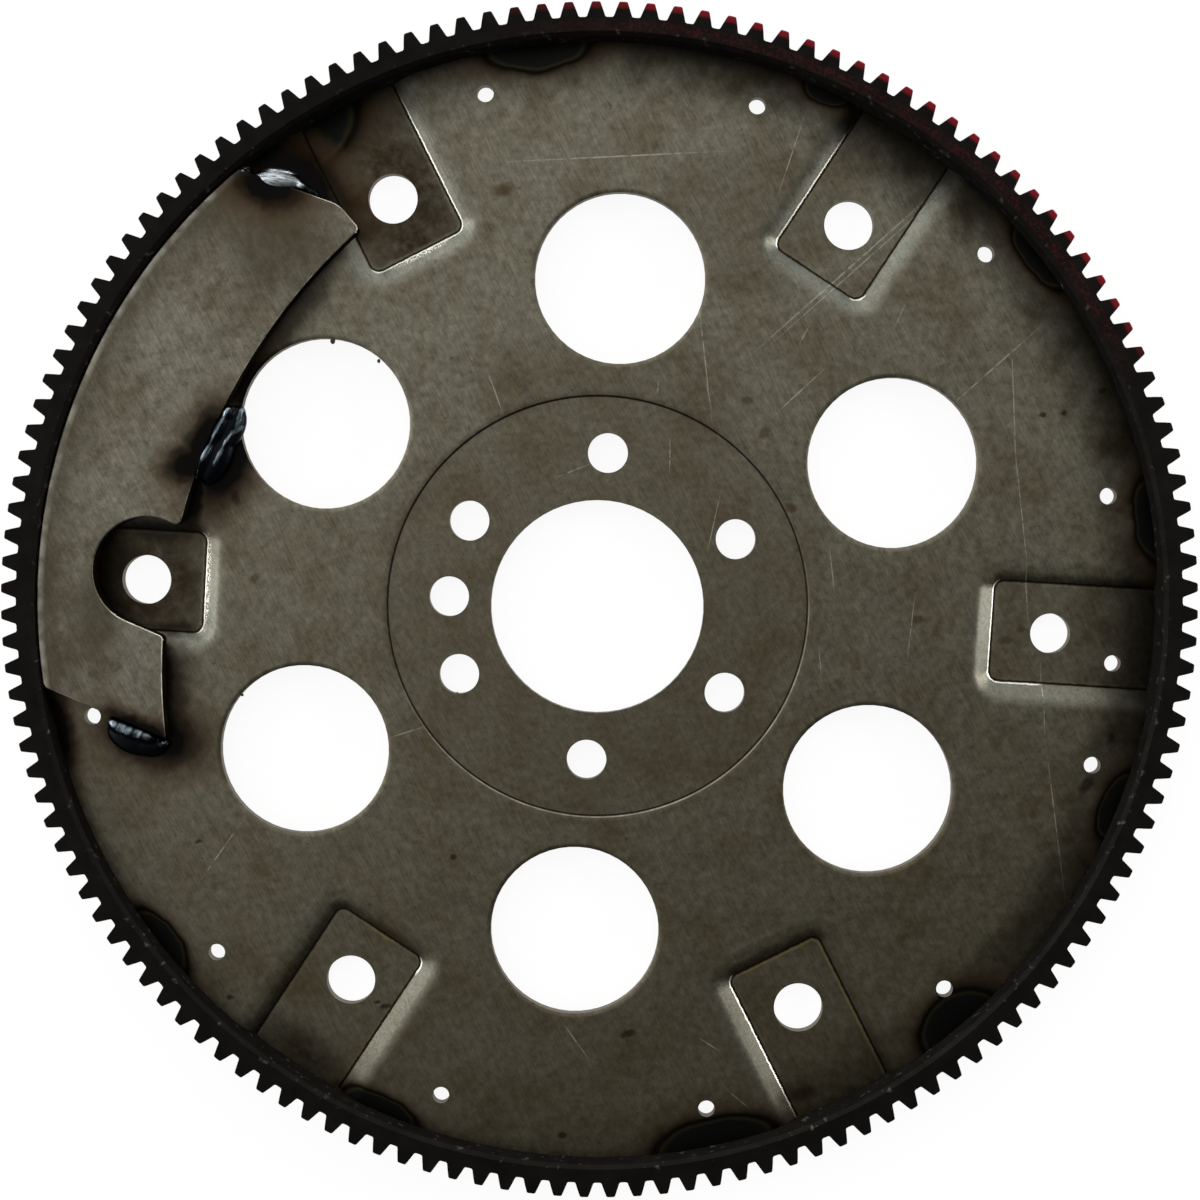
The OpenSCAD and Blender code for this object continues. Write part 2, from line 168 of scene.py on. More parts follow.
# Ridges of the weld beads where bare weld metal shows, brightened as painted highlights.
LIT_WELD_RIDGES = (
    (-101.6, 120.1, 6.4, 2.0, -5.0), (-101.2, 123.0, 4.6, 0.7, -3.0), (-111.6, 123.3, 1.8, 0.35, 10.0),
    (-109.8, 121.2, 2.8, 0.4, -25.0), (-95.4, 119.5, 1.8, 0.9, -20.0),
    (-113.2, 51.4, 1.6, 0.9, 60.0), (-115.2, 46.6, 5.2, 0.45, 64.0), (-118.6, 39.1, 2.6, 0.8, 66.0),
    (-121.4, 32.4, 1.8, 0.35, 70.0), (-109.6, 49.6, 3.6, 0.55, 80.0), (-108.7, 52.4, 1.5, 0.55, 60.0),
    (-110.0, 46.2, 1.9, 0.7, 35.0), (-112.6, 43.2, 3.0, 0.45, 58.0), (-114.9, 38.4, 3.2, 0.6, 66.0),
    (-142.4, -43.2, 1.4, 0.9, -30.0), (-140.0, -44.6, 1.7, 1.3, 60.0), (-137.6, -45.3, 1.3, 1.1, 40.0),
    (-134.8, -45.8, 1.5, 1.1, 50.0), (-132.2, -46.6, 1.2, 0.9, -20.0), (-127.4, -48.4, 0.6, 0.45, 0.0),
)
# Stretches of the pads' edges that are battered, worn bright or straw coloured.
SPARKLING_EDGES = ((-118.8, 0.0, 17.0, 3.0, 90.0), (-59.4, 102.9, 11.0, 3.0, 30.0))
WORN_EDGES = (
    (56.8, 128.8, 24.0, 2.5, 60.0), (118.8, 0.0, 17.0, 2.5, 90.0), (126.0, -15.2, 9.0, 2.5, 0.0),
    (56.8, -128.8, 26.0, 2.5, 120.0), (-56.8, 128.8, 22.0, 2.5, 120.0), (-59.4, 102.9, 17.0, 2.5, 30.0),
    (-118.8, 0.0, 17.0, 2.5, 90.0), (-47.4, -113.0, 2.6, 2.4, 60.0), (72.6, 95.3, 3.6, 3.0, 60.0),
)
GOLD_EDGES = (
    (58.9, -102.0, 17.0, 3.0, 30.0), (82.4, -114.1, 24.0, 3.0, 120.0), (-56.0, -102.6, 13.0, 3.0, 150.0),
)
# Oil and dirt: smears, oily pads, patches of thin film, and dirty parts of the weight.
SMEARS = (
    (-80.0, -140.5, 17.0, 6.0, -36.0), (70.5, -144.5, 7.0, 3.0, 15.0), (-139.0, 46.0, 12.0, 5.0, 20.0),
)
OILY_PADS = ((-67.0, 118.0, 42.0, 27.0, 120.0), (-138.0, 0.0, 34.0, 24.0, 0.0))
THIN_FILM = ((0.0, 0.0, 66.0, 66.0, 0.0), (38.0, 118.0, 34.0, 22.0, 20.0), (0.0, 62.0, 40.0, 22.0, 0.0))
WEIGHT_DIRT = ((-103.0, 105.0, 30.0, 17.0, -35.0), (-148.0, -9.0, 20.0, 8.0, 88.0))
# Scratches and spots.
SCRATCHES = (
    (-2.6, 133.7, 23.5, 0.20, 6.0), (70.2, 106.5, 29.5, 0.24, -135.0), (71.2, 105.3, 26.0, 0.16, -135.0),
    (113.5, 78.1, 14.5, 0.22, -135.0), (49.7, 137.8, 10.5, 0.14, -105.0), (56.4, 67.6, 8.0, 0.20, -134.0),
    (84.9, 92.5, 3.5, 0.16, -110.0), (56.7, 84.5, 2.2, 0.18, -115.0), (120.0, 68.3, 16.0, 0.14, -84.0),
    (124.6, 35.9, 17.0, 0.14, -80.0), (128.5, 12.1, 7.2, 0.16, -82.0), (135.2, -20.3, 9.0, 0.14, -85.0),
    (141.5, -58.0, 19.5, 0.14, -79.0), (94.1, -0.7, 7.2, 0.14, -93.0), (69.4, 15.2, 5.1, 0.14, -80.0),
    (67.7, -12.9, 4.0, 0.14, -81.0), (19.0, 46.7, 4.0, 0.16, -87.0), (14.2, 66.5, 1.4, 0.18, -92.0),
    (29.5, 64.8, 2.9, 0.16, -75.0), (33.4, 27.3, 7.2, 0.14, -99.0), (27.7, 75.4, 13.2, 0.14, -80.0),
    (-33.9, 61.6, 6.2, 0.14, -67.0), (-109.2, -80.7, 8.2, 0.16, -122.0), (1.2, -131.6, 5.5, 0.16, -51.0),
    (41.6, -130.2, 2.9, 0.16, -30.0), (53.3, -147.8, 5.3, 0.16, -37.0), (-54.7, -41.0, 4.0, 0.16, 21.0),
    (-9.5, 40.3, 4.3, 0.14, 25.0),
)
DARK_SPOTS = (
    (149.5, -44.5, 3.0, 1.6, 60.0), (156.0, -30.0, 1.6, 1.0, 80.0), (-39.0, -78.0, 0.9, 0.8, 0.0),
    (17.0, -128.5, 2.4, 1.2, 20.0), (-1.0, -161.0, 1.4, 0.9, 0.0),
    (-116.0, -78.0, 0.9, 0.6, 0.0), (-104.0, -125.0, 1.2, 0.8, 0.0), (-110.0, 26.0, 2.4, 1.2, 105.0),
    (129.0, 65.0, 1.1, 0.8, 0.0), (135.0, 66.0, 0.9, 0.8, 0.0), (146.0, 73.0, 1.2, 0.8, 40.0),
    (-57.4, -125.8, 1.7, 0.8, 20.0), (-59.8, -124.6, 0.9, 0.5, 0.0),
)
BROWN_SPOTS = (
    (96.0, 2.0, 1.8, 1.4, 0.0), (-103.0, 2.5, 2.0, 1.3, 30.0), (-35.0, 122.0, 3.6, 1.8, 15.0),
    (41.0, 64.0, 1.8, 1.3, 0.0), (47.0, 55.0, 2.2, 1.4, 60.0), (56.0, 33.0, 2.0, 1.4, 0.0),
    (127.5, 0.8, 1.2, 1.3, 0.0), (123.6, -2.8, 2.2, 1.3, 10.0),
)

# Plan directions: where the ring's painted shade, with soot, is deepest, and the near side, towards which
# the disc darkens and browns and where the crank flat's step gets a painted highlight.
RIM_SHADE_SIDE = (0.77, 0.64, 0.0)
NEAR_SIDE_DIRECTION = (0.3, -0.95, 0.0)

# Colours from the middle of a patch to the end of its fade, as share of the way, colour and cover,
# and where that end lies, counted in the patch's own reach.
HEAT_TINT = (
    (0.00, "#0B0C0B", 1.0), (0.44, "#111210", 1.0), (0.49, "#211F14", 1.0), (0.53, "#0E0B07", 1.0),
    (0.57, "#0E0B07", 1.0), (0.63, "#1C150D", 0.75), (0.73, "#2B2115", 0.35), (1.00, "#4A3D2A", 0.0),
)
HEAT_END = 1.6
BLACK_SOOT_AND_SHADE = (
    (0.00, "#0B0B0C", 1.0), (0.32, "#0E0C0A", 1.0), (0.48, "#1C140C", 0.88), (0.68, "#35271A", 0.5),
    (1.00, "#4A3D2A", 0.0),
)
SOOT_AND_SHADE_END = 1.8

# Colours that lie on more than one place.
OIL = "#38311F"
WEIGHT_MUD = "#332D20"
SPECK = "#2E261B"
WELD_SCALE = "#0F1214"

# Angles over which the marking paint on the ring begins and ends.
PAINT_BEGINS = (math.radians(26), math.radians(34))
PAINT_ENDS = (math.radians(104), math.radians(88))

# Lamps that face the part: name, place, width and depth in metres, power in watts.
LAMPS = (
    ("left lamp", (-1.05, 0.10, 0.36), 0.8, 0.25, 5.0),
    ("right lamp", (1.05, 0.22, 0.34), 0.5, 0.2, 9.5),
    ("far lamp", (-0.45, 1.0, 0.42), 0.8, 0.25, 1.0),
)
# The sky: its levels from the horizon up, its strength, and how it leans to the left and far sides.
SKY_LEVELS = ((0.0, 1.0), (0.2, 0.8), (0.32, 0.32), (0.45, 0.17), (0.6, 0.17), (0.8, 0.24), (1.0, 0.22))
SKY_STRENGTH = 4.0
SKY_MIDDLE = 0.95
SKY_TO_LEFT = 1.4
SKY_TO_FAR = 1.7
SKY_LIMITS = (0.12, 2.0)
# The floor's width, the share of plain white in what the eye sees of it, and the camera fitted to
# the photograph, in metres, radians and millimetres.
FLOOR_WIDTH = 6.0
FLOOR_WHITE = 0.92
CAMERA_PLACE = (0.0057242, 0.0225356, 0.5008)
CAMERA_TURN = (-0.04016, 0.01236, 0.059237)
CAMERA_LENS = 50.12
CAMERA_SENSOR = 36.0


def linear(hex_colour):
    """An sRGB hex colour as the linear RGBA that Blender's sockets hold."""
    parts = [int(hex_colour[i:i + 2], 16) / 255 for i in (1, 3, 5)]
    return tuple(c / 12.92 if c <= 0.04045 else ((c + 0.055) / 1.055) ** 2.4 for c in parts) + (1.0,)


def feed(tree, socket, value):
    """Links a node's first live output or a socket to an input, or sets a plain value on it."""
    if isinstance(value, bpy.types.Node):
        value = next(o for o in value.outputs if o.enabled)
    if isinstance(value, bpy.types.NodeSocket):
        tree.links.new(value, socket)
    else:
        socket.default_value = value


def add(tree, kind, links=None, **settings):
    """Adds a shader node. A setting is an attribute, or the stops of a ramp. A link feeds the input
    of that name or number."""
    node = tree.nodes.new("ShaderNode" + kind)
    stops = settings.pop("stops", ())
    for name, value in settings.items():
        setattr(node, name, value)
    if stops:
        elements = node.color_ramp.elements
        elements.remove(elements[1])
        for number, (position, colour) in enumerate(stops):
            element = elements[0] if number == 0 else elements.new(position)
            element.position = position
            element.color = colour
    for key, value in (links or {}).items():
        if isinstance(key, int):
            socket = node.inputs[key]
        else:
            socket = next(i for i in node.inputs if i.enabled and i.name == key)
        feed(tree, socket, value)
    return node


def start_material(name):
    """A new material with its shader, and the surface's own coordinates in millimetres."""
    material = bpy.data.materials.new(name)
    material.use_nodes = True
    tree = material.node_tree
    shader = tree.nodes["Principled BSDF"]
    surface = add(tree, "TexCoord").outputs["Object"]
    place = add(tree, "VectorMath", {0: surface, "Scale": 1 / MM}, operation="SCALE")
    return material, tree, shader, place


def wire(tree, shader, **inputs):
    """Feeds the shader's inputs, named in lower case with underscores."""
    for name, value in inputs.items():
        feed(tree, shader.inputs[name.replace("_", " ").title()], value)


def from_axis(tree, place):
    """The place without its height, and its distance from the disc's axis."""
    flat = add(tree, "VectorMath", {0: place, 1: (1, 1, 0)}, operation="MULTIPLY")
    return flat, add(tree, "VectorMath", {0: flat}, operation="LENGTH")


def between(tree, value, rise, fall):
    """1 where a value lies between two soft edges: it sets in over one stretch and ends over another."""
    begun = add(tree, "MapRange", {"Value": value, "From Min": rise[0], "From Max": rise[1]})
    left = add(tree, "MapRange", {"Value": value, "From Min": fall[0], "From Max": fall[1]})
    return add(tree, "Math", {0: begun, 1: left}, operation="MULTIPLY")


def mottled(tree, place, size, detail, spread, levels, roughness=0.5):
    """Noise with patches of a size in millimetres, its spread brought to two levels."""
    noise = add(
        tree, "TexNoise",
        {"Vector": place, "Scale": 1 / size, "Detail": detail, "Roughness": roughness},
    )
    return add(
        tree, "MapRange",
        {"Value": noise, "From Min": spread[0], "From Max": spread[1],
         "To Min": levels[0], "To Max": levels[1]},
    )


def nearest(tree, place, ovals):
    """Reach from the closest of some flat ovals: 0 in its middle and 1 on its edge."""
    closest = None
    for x, y, half_length, half_width, turn in ovals:
        local = add(
            tree, "Mapping",
            {"Vector": place, "Location": (x, y, 0), "Rotation": (0, 0, math.radians(turn)),
             "Scale": (half_length, half_width, 1 / MM)},
            vector_type="TEXTURE",
        )
        reach = add(tree, "VectorMath", {0: local}, operation="LENGTH")
        if closest is None:
            closest = reach
        else:
            closest = add(tree, "Math", {0: closest, 1: reach}, operation="MINIMUM")
    return closest


def spotted(tree, tone, place, ovals, fade, cover, colour):
    """Lays a colour over a tone within some ovals, from nothing at one reach to its cover at another."""
    spots = add(
        tree, "MapRange",
        {"Value": nearest(tree, place, ovals), "From Min": fade[0], "From Max": fade[1], "To Max": cover},
    )
    return add(tree, "Mix", {"Factor": spots, "A": tone, "B": linear(colour)}, data_type="RGBA")


def along_rim(tints):
    """Ovals that lie along the disc's rim, from angles, half spans and depths."""
    ovals = []
    for angle, half_span, depth in tints:
        turn = math.radians(angle)
        ovals.append((
            RIM_R * math.cos(turn), RIM_R * math.sin(turn),
            RIM_R * math.radians(half_span), depth, angle + 90,
        ))
    return ovals


def worn_steel(tree, place, colour, stain, sizes):
    """Bare rolled steel: grain streaks, soft brown mottling, specks and pits.
    Gives its colour, its roughness and the height of its grain."""
    grain_width = sizes.grain_width / MM
    grain_place = add(
        tree, "Mapping",
        {"Vector": place, "Rotation": (0, 0, sizes.grain_direction),
         "Scale": (14 * grain_width, grain_width, 8)},
        vector_type="TEXTURE",
    )
    grain = add(tree, "TexNoise", {"Vector": grain_place, "Scale": 1.0, "Detail": 4.0, "Roughness": 0.6})
    mottle = add(tree, "TexNoise", {"Vector": place, "Scale": 1 / 2.2, "Detail": 4.0, "Roughness": 0.65})
    browning = mottled(tree, place, 18.0, 5.0, (0.44, 0.70), (0.0, 0.8), 0.62)
    tone = add(tree, "Mix", {"Factor": browning, "A": colour, "B": stain}, data_type="RGBA")
    fine = add(tree, "MapRange", {"Value": mottle, "From Min": 0.3, "From Max": 0.7,
                                  "To Min": 0.72, "To Max": 1.28})
    streak = add(tree, "MapRange", {"Value": grain, "From Min": 0.3, "From Max": 0.7,
                                    "To Min": 0.78, "To Max": 1.22})
    shade = add(tree, "Math", {0: fine, 1: streak}, operation="MULTIPLY")
    tone = add(tree, "VectorMath", {0: tone, "Scale": shade}, operation="SCALE")
    specks = mottled(tree, place, 1.9, 1.0, (0.73, 0.80), (0.0, 0.45))
    tone = add(tree, "Mix", {"Factor": specks, "A": tone, "B": linear(SPECK)}, data_type="RGBA")
    pits = mottled(tree, place, 0.7, 2.0, (0.60, 0.72), (0.0, 0.4), 0.7)
    tone = add(tree, "Mix", {"Factor": pits, "A": tone, "B": linear(SPECK)}, data_type="RGBA")
    gloss = add(tree, "MapRange", {"Value": mottle, "From Min": 0.3, "From Max": 0.7,
                                   "To Min": 0.42, "To Max": 0.50})
    return tone, gloss, grain


def faded(tree, tone, reach, end, colours):
    """Lays a patch over a tone, by colours that run from its middle to the end of its fade."""
    ramp = add(
        tree, "ValToRGB",
        {"Fac": add(tree, "MapRange", {"Value": reach, "From Max": end})},
        stops=[(at, linear(colour)[:3] + (cover,)) for at, colour, cover in colours],
    )
    return add(
        tree, "Mix",
        {"Factor": ramp.outputs["Alpha"], "A": tone, "B": ramp.outputs["Color"]},
        data_type="RGBA",
    )


def pad_distance(tree, place):
    """Distance in millimetres outside the edge of the nearest pad's flat, and below 0 within it."""
    axes = add(tree, "SeparateXYZ", {0: place})
    angle = add(tree, "Math", {0: axes.outputs["Y"], 1: axes.outputs["X"]}, operation="ARCTAN2")
    pitch = 2 * math.pi / PAD_COUNT
    turn = add(tree, "Math", {0: add(tree, "Math", {0: angle, 1: 1 / pitch}, operation="MULTIPLY")},
               operation="ROUND")
    turn = add(tree, "Math", {0: turn, 1: pitch}, operation="MULTIPLY")
    folded = add(tree, "VectorRotate", {"Vector": place, "Angle": turn},
                 rotation_type="Z_AXIS", invert=True)
    local = add(tree, "SeparateXYZ", {0: folded})
    inward = add(tree, "Math", {0: PAD_INNER + PAD_CORNER, 1: local.outputs["X"]}, operation="SUBTRACT")
    aside = add(tree, "Math", {0: local.outputs["Y"]}, operation="ABSOLUTE")
    aside = add(tree, "Math", {0: aside, 1: PAD_HALF_WIDTH - PAD_CORNER}, operation="SUBTRACT")
    beyond = add(tree, "VectorMath", {0: add(tree, "CombineXYZ", {"X": inward, "Y": aside}), 1: (0, 0, 0)},
                 operation="MAXIMUM")
    outside = add(tree, "VectorMath", {0: beyond}, operation="LENGTH")
    inside = add(tree, "Math", {0: inward, 1: aside}, operation="MAXIMUM")
    inside = add(tree, "Math", {0: inside, 1: 0.0}, operation="MINIMUM")
    edge = add(tree, "Math", {0: outside, 1: inside}, operation="ADD")
    return add(tree, "Math", {0: edge, 1: PAD_CORNER}, operation="SUBTRACT")


def crease(tree, distance, middle, half_width):
    """A line along a crease or edge: 1 along its middle, 0 past its half width."""
    off = add(tree, "Math", {0: distance, 1: middle}, operation="SUBTRACT")
    off = add(tree, "Math", {0: off}, operation="ABSOLUTE")
    return add(tree, "MapRange", {"Value": off, "From Min": half_width, "From Max": 0.35 * half_width})


def wavering(tree, place, size, amount):
    """The coordinates pushed about by noise of a size in millimetres, so that edges waver."""
    noise = add(tree, "TexNoise", {"Vector": place, "Scale": 1 / size, "Detail": 2.0}).outputs["Color"]
    centred = add(tree, "VectorMath", {0: noise, 1: (0.5, 0.5, 0.5)}, operation="SUBTRACT")
    return add(tree, "VectorMath", {0: centred, 1: (amount, amount, 0), 2: place}, operation="MULTIPLY_ADD")


def near_darkening_and_film(tree, tone, place):
    """Darkens the disc to brown towards the near side, and lays a thin film of oil in patches.
    Gives the tone and the share of that darkening."""
    drift = add(tree, "VectorMath", {0: place, 1: NEAR_SIDE_DIRECTION}, operation="DOT_PRODUCT")
    drift = add(tree, "MapRange", {"Value": drift, "From Min": -90.0, "From Max": 160.0, "To Max": 0.6})
    tone = add(tree, "Mix", {"Factor": drift, "A": tone, "B": linear(OIL)}, data_type="RGBA")
    tone = spotted(tree, tone, wavering(tree, place, 20.0, 16.0), THIN_FILM, (1.1, 0.8), 0.28, OIL)
    return tone, drift


def pad_slopes(tree, tone, place, from_pad, drift, tilt):
    """Burnishes the slopes of the pads, partly as a painted highlight on the slopes that face the lamps,
    and lays painted shade on those that face the near side.
    Gives the tone, how far a slope faces that side, and the distance from the pad as the slopes are drawn."""
    # How far a slope faces away from the lamps, which sets its painted shade.
    turned = add(tree, "MapRange", {"Value": tilt.outputs["Y"], "From Min": 0.02, "From Max": -0.26},
                 interpolation_type="SMOOTHSTEP")
    shade_share = add(tree, "MapRange", {"Value": drift, "From Max": 0.28, "To Min": 0.35})
    turned = add(tree, "Math", {0: turned, 1: shade_share}, operation="MULTIPLY")
    # The slopes run out farther towards the near side.
    outward = add(tree, "Math", {0: drift, 1: -4.0, 2: from_pad}, operation="MULTIPLY_ADD")
    rubbed = mottled(tree, place, 0.8, 3.0, (0.30, 0.75), (0.0, 0.75), 0.7)
    slope_in = add(tree, "MapRange", {"Value": from_pad, "From Min": 0.1, "From Max": 0.8})
    slope_out = add(tree, "MapRange", {"Value": outward, "From Min": 6.8, "From Max": 1.8})
    slope = add(tree, "Math", {0: slope_in, 1: slope_out}, operation="MULTIPLY")
    slope = add(tree, "Math", {0: slope, 1: rubbed}, operation="MULTIPLY")
    bare = add(tree, "Math", {0: drift, 1: -0.85, 2: 1.0}, operation="MULTIPLY_ADD")
    bare = add(tree, "Math", {0: bare, 1: turned}, operation="SUBTRACT", use_clamp=True)
    slope = add(tree, "Math", {0: slope, 1: bare}, operation="MULTIPLY")
    # Burnished metal on the slopes, partly a painted highlight where they face the lamps.
    tone = add(tree, "Mix", {"Factor": slope, "A": tone, "B": linear("#6E7572")}, data_type="RGBA")
    # Painted shade on the slopes that face away from the lamps, towards the near side.
    halo = add(tree, "MapRange", {"Value": from_pad, "From Min": 4.0, "From Max": 0.2, "To Max": 0.5},
               interpolation_type="SMOOTHSTEP")
    halo = add(tree, "Math", {0: halo, 1: turned}, operation="MULTIPLY")
    tone = add(tree, "Mix", {"Factor": halo, "A": tone, "B": linear("#15110A")}, data_type="RGBA")
    return tone, turned, outward


def pad_edges(tree, tone, place, from_pad):
    """Draws the pads' edges: worn bright, battered to sparks, or straw coloured on the lip."""
    spans = add(tree, "MapRange", {"Value": nearest(tree, wavering(tree, place, 5.0, 5.0), WORN_EDGES),
                                   "From Min": 1.15, "From Max": 0.85, "To Max": 0.85})
    worn = add(tree, "Math", {0: crease(tree, from_pad, 0.35, 0.32), 1: spans}, operation="MULTIPLY")
    tone = add(tree, "Mix", {"Factor": worn, "A": tone, "B": linear("#CFCDC4")}, data_type="RGBA")
    sparks = mottled(tree, place, 0.45, 2.0, (0.50, 0.62), (0.0, 0.8))
    battered = add(tree, "MapRange", {"Value": nearest(tree, place, SPARKLING_EDGES), "From Min": 1.0,
                                      "From Max": 0.7})
    battered = add(tree, "Math", {0: crease(tree, from_pad, 0.9, 1.3), 1: battered}, operation="MULTIPLY")
    sparks = add(tree, "Math", {0: sparks, 1: battered}, operation="MULTIPLY")
    tone = add(tree, "Mix", {"Factor": sparks, "A": tone, "B": linear("#D9D2C6")}, data_type="RGBA")
    gold = add(tree, "MapRange", {"Value": nearest(tree, wavering(tree, place, 5.0, 5.0), GOLD_EDGES),
                                  "From Min": 1.2, "From Max": 0.8, "To Min": 0.12, "To Max": 0.5})
    lip = add(tree, "Math", {0: crease(tree, from_pad, -0.9, 0.5), 1: gold}, operation="MULTIPLY")
    return add(tree, "Mix", {"Factor": lip, "A": tone, "B": linear("#7A6B3E")}, data_type="RGBA")


def oil_and_spots(tree, tone, place, from_pad):
    """Lays oil on the flats of some pads, smears, and brown and dark spots. Gives the tone and the
    patches in which the oil lies."""
    loose = wavering(tree, place, 2.0, 1.6)
    film = add(tree, "MapRange", {"Value": from_pad, "From Min": 0.2, "From Max": -1.5, "To Max": 0.95})
    oily = add(tree, "MapRange", {"Value": nearest(tree, loose, OILY_PADS), "From Min": 1.1,
                                  "From Max": 0.4})
    film = add(tree, "Math", {0: film, 1: oily}, operation="MULTIPLY")
    patchy = mottled(tree, place, 6.0, 6.0, (0.36, 0.60), (0.66, 1.0), 0.7)
    film = add(tree, "Math", {0: film, 1: patchy}, operation="MULTIPLY")
    tone = add(tree, "Mix", {"Factor": film, "A": tone, "B": linear("#241D12")}, data_type="RGBA")
    smear = add(tree, "MapRange", {"Value": nearest(tree, wavering(tree, place, 4.0, 5.0), SMEARS),
                                   "From Min": 1.2, "From Max": 0.3, "To Max": 0.8})
    smear = add(tree, "Math", {0: smear, 1: patchy}, operation="MULTIPLY")
    tone = add(tree, "Mix", {"Factor": smear, "A": tone, "B": linear("#17120B")}, data_type="RGBA")
    tone = spotted(tree, tone, loose, BROWN_SPOTS, (1.3, 0.6), 0.6, "#33260F")
    tone = spotted(tree, tone, loose, DARK_SPOTS, (1.3, 0.6), 0.75, "#17130D")
    return tone, patchy


def scratched(tree, tone, place):
    """Draws broken scratches down to bright metal."""
    broken = mottled(tree, place, 1.6, 2.0, (0.32, 0.55), (0.0, 0.5))
    cut = add(tree, "MapRange", {"Value": nearest(tree, place, SCRATCHES), "From Min": 1.6,
                                 "From Max": 0.5})
    cut = add(tree, "Math", {0: cut, 1: broken}, operation="MULTIPLY")
    return add(tree, "Mix", {"Factor": cut, "A": tone, "B": linear("#A3A195")}, data_type="RGBA")


def rim_shade_and_soot(tree, tone, place, flat, radius, from_pad):
    """Paints the ring's shade along the rim, with some soot and oil, most of all at the upper right and
    deeper on the pads, which lie lower.
    """
    aim = add(tree, "VectorMath", {0: flat}, operation="NORMALIZE")
    aim = add(tree, "VectorMath", {0: aim, 1: RIM_SHADE_SIDE}, operation="DOT_PRODUCT")
    share = add(tree, "MapRange", {"Value": aim, "From Min": -0.9, "From Max": 0.7,
                                   "To Min": 0.1, "To Max": 0.9})
    frayed = add(tree, "TexNoise", {"Vector": place, "Scale": 1 / 9, "Detail": 4.0})
    frayed = add(tree, "Math", {0: frayed, 1: 12.0, 2: radius}, operation="MULTIPLY_ADD")
    deep = add(tree, "MapRange", {"Value": from_pad, "From Min": 2.0, "From Max": -1.0, "To Max": 2.0})
    frayed = add(tree, "Math", {0: frayed, 1: deep}, operation="ADD")
    # Painted shade that the ring casts on the rim, mixed with soot.
    soot = add(tree, "MapRange", {"Value": frayed, "From Min": 153.0, "From Max": 172.0},
               interpolation_type="SMOOTHSTEP")
    soot = add(tree, "Math", {0: soot, 1: share}, operation="MULTIPLY")
    return add(tree, "Mix", {"Factor": soot, "A": tone, "B": linear("#120F0A")}, data_type="RGBA")


def heat_soot_and_shade(tree, tone, place):
    """Lays the heat tint at the rim, the soot round the welds with painted shade in the gaps beside the
    weight, and painted shade beside the weight and in its notch.
    The tint is slate in its middle, then a thin straw line, a brown-black band and a brown fade."""
    heat_place = wavering(tree, place, 5.0, 4.5)
    tint = nearest(tree, wavering(tree, place, 9.0, 2.5), along_rim(RIM_TINTS))
    tone = faded(tree, tone, tint, HEAT_END, HEAT_TINT)
    tone = faded(tree, tone, nearest(tree, heat_place, WELD_SOOT_AND_SHADE), SOOT_AND_SHADE_END, BLACK_SOOT_AND_SHADE)
    # Painted shade that the weight casts on the disc, and shade in its notch.
    shade = add(tree, "MapRange", {"Value": nearest(tree, heat_place, WEIGHT_SHADE), "From Min": 1.1,
                                   "From Max": 0.2, "To Max": 0.8}, interpolation_type="SMOOTHSTEP")
    return add(tree, "Mix", {"Factor": shade, "A": tone, "B": linear("#14110B")}, data_type="RGBA")


def creases(tree, tone, flat, radius, from_pad, patchy):
    """Paints a highlight in patches on the near half of the crank flat's edge, where its step faces the
    light, and lays dirt and painted shade in the creases at the foot of the pads and of the crank flat."""
    near_side = add(tree, "VectorMath", {0: flat}, operation="NORMALIZE")
    near_side = add(tree, "VectorMath", {0: near_side, 1: NEAR_SIDE_DIRECTION}, operation="DOT_PRODUCT")
    near_side = add(tree, "MapRange", {"Value": near_side, "From Min": 0.0, "From Max": 0.6})
    broken = add(tree, "MapRange", {"Value": patchy, "From Min": 0.66, "From Max": 1.0, "To Min": 0.75,
                                    "To Max": 0.35})
    near_side = add(tree, "Math", {0: near_side, 1: broken}, operation="MULTIPLY")
    # Painted highlight on the near half of the crank flat's step, broken in patches.
    step_highlight = add(tree, "Math", {0: crease(tree, radius, HUB_R + 0.4, 0.3), 1: near_side},
                      operation="MULTIPLY")
    tone = add(tree, "Mix", {"Factor": step_highlight, "A": tone, "B": linear("#A09C8B")}, data_type="RGBA")
    # Dirt and painted shade in the creases at the foot of the pads and of the crank flat.
    dirt = add(tree, "Math", {0: crease(tree, from_pad, -0.1, 0.5), 1: crease(tree, radius, HUB_R, 0.4)},
               operation="MAXIMUM")
    dirt = add(tree, "Math", {0: dirt, 1: 0.9}, operation="MULTIPLY")
    return add(tree, "Mix", {"Factor": dirt, "A": tone, "B": linear("#0E0C08")}, data_type="RGBA")


def hole_walls(tree, tone, up, radius):
    """Leaves the sheared walls of the punched holes bright and the rim's own edge dull. Gives the
    tone and where the surface is a wall."""
    wall = add(tree, "Math", {0: up}, operation="ABSOLUTE")
    wall = add(tree, "MapRange", {"Value": wall, "From Min": 0.4, "From Max": 0.15, "To Max": 0.95})
    punched = add(tree, "MapRange", {"Value": radius, "From Min": RIM_R - 0.5, "From Max": RIM_R - 2.0})
    punched = add(tree, "Math", {0: wall, 1: punched}, operation="MULTIPLY")
    tone = add(tree, "Mix", {"Factor": punched, "A": tone, "B": linear("#8F8A82")}, data_type="RGBA")
    return tone, wall


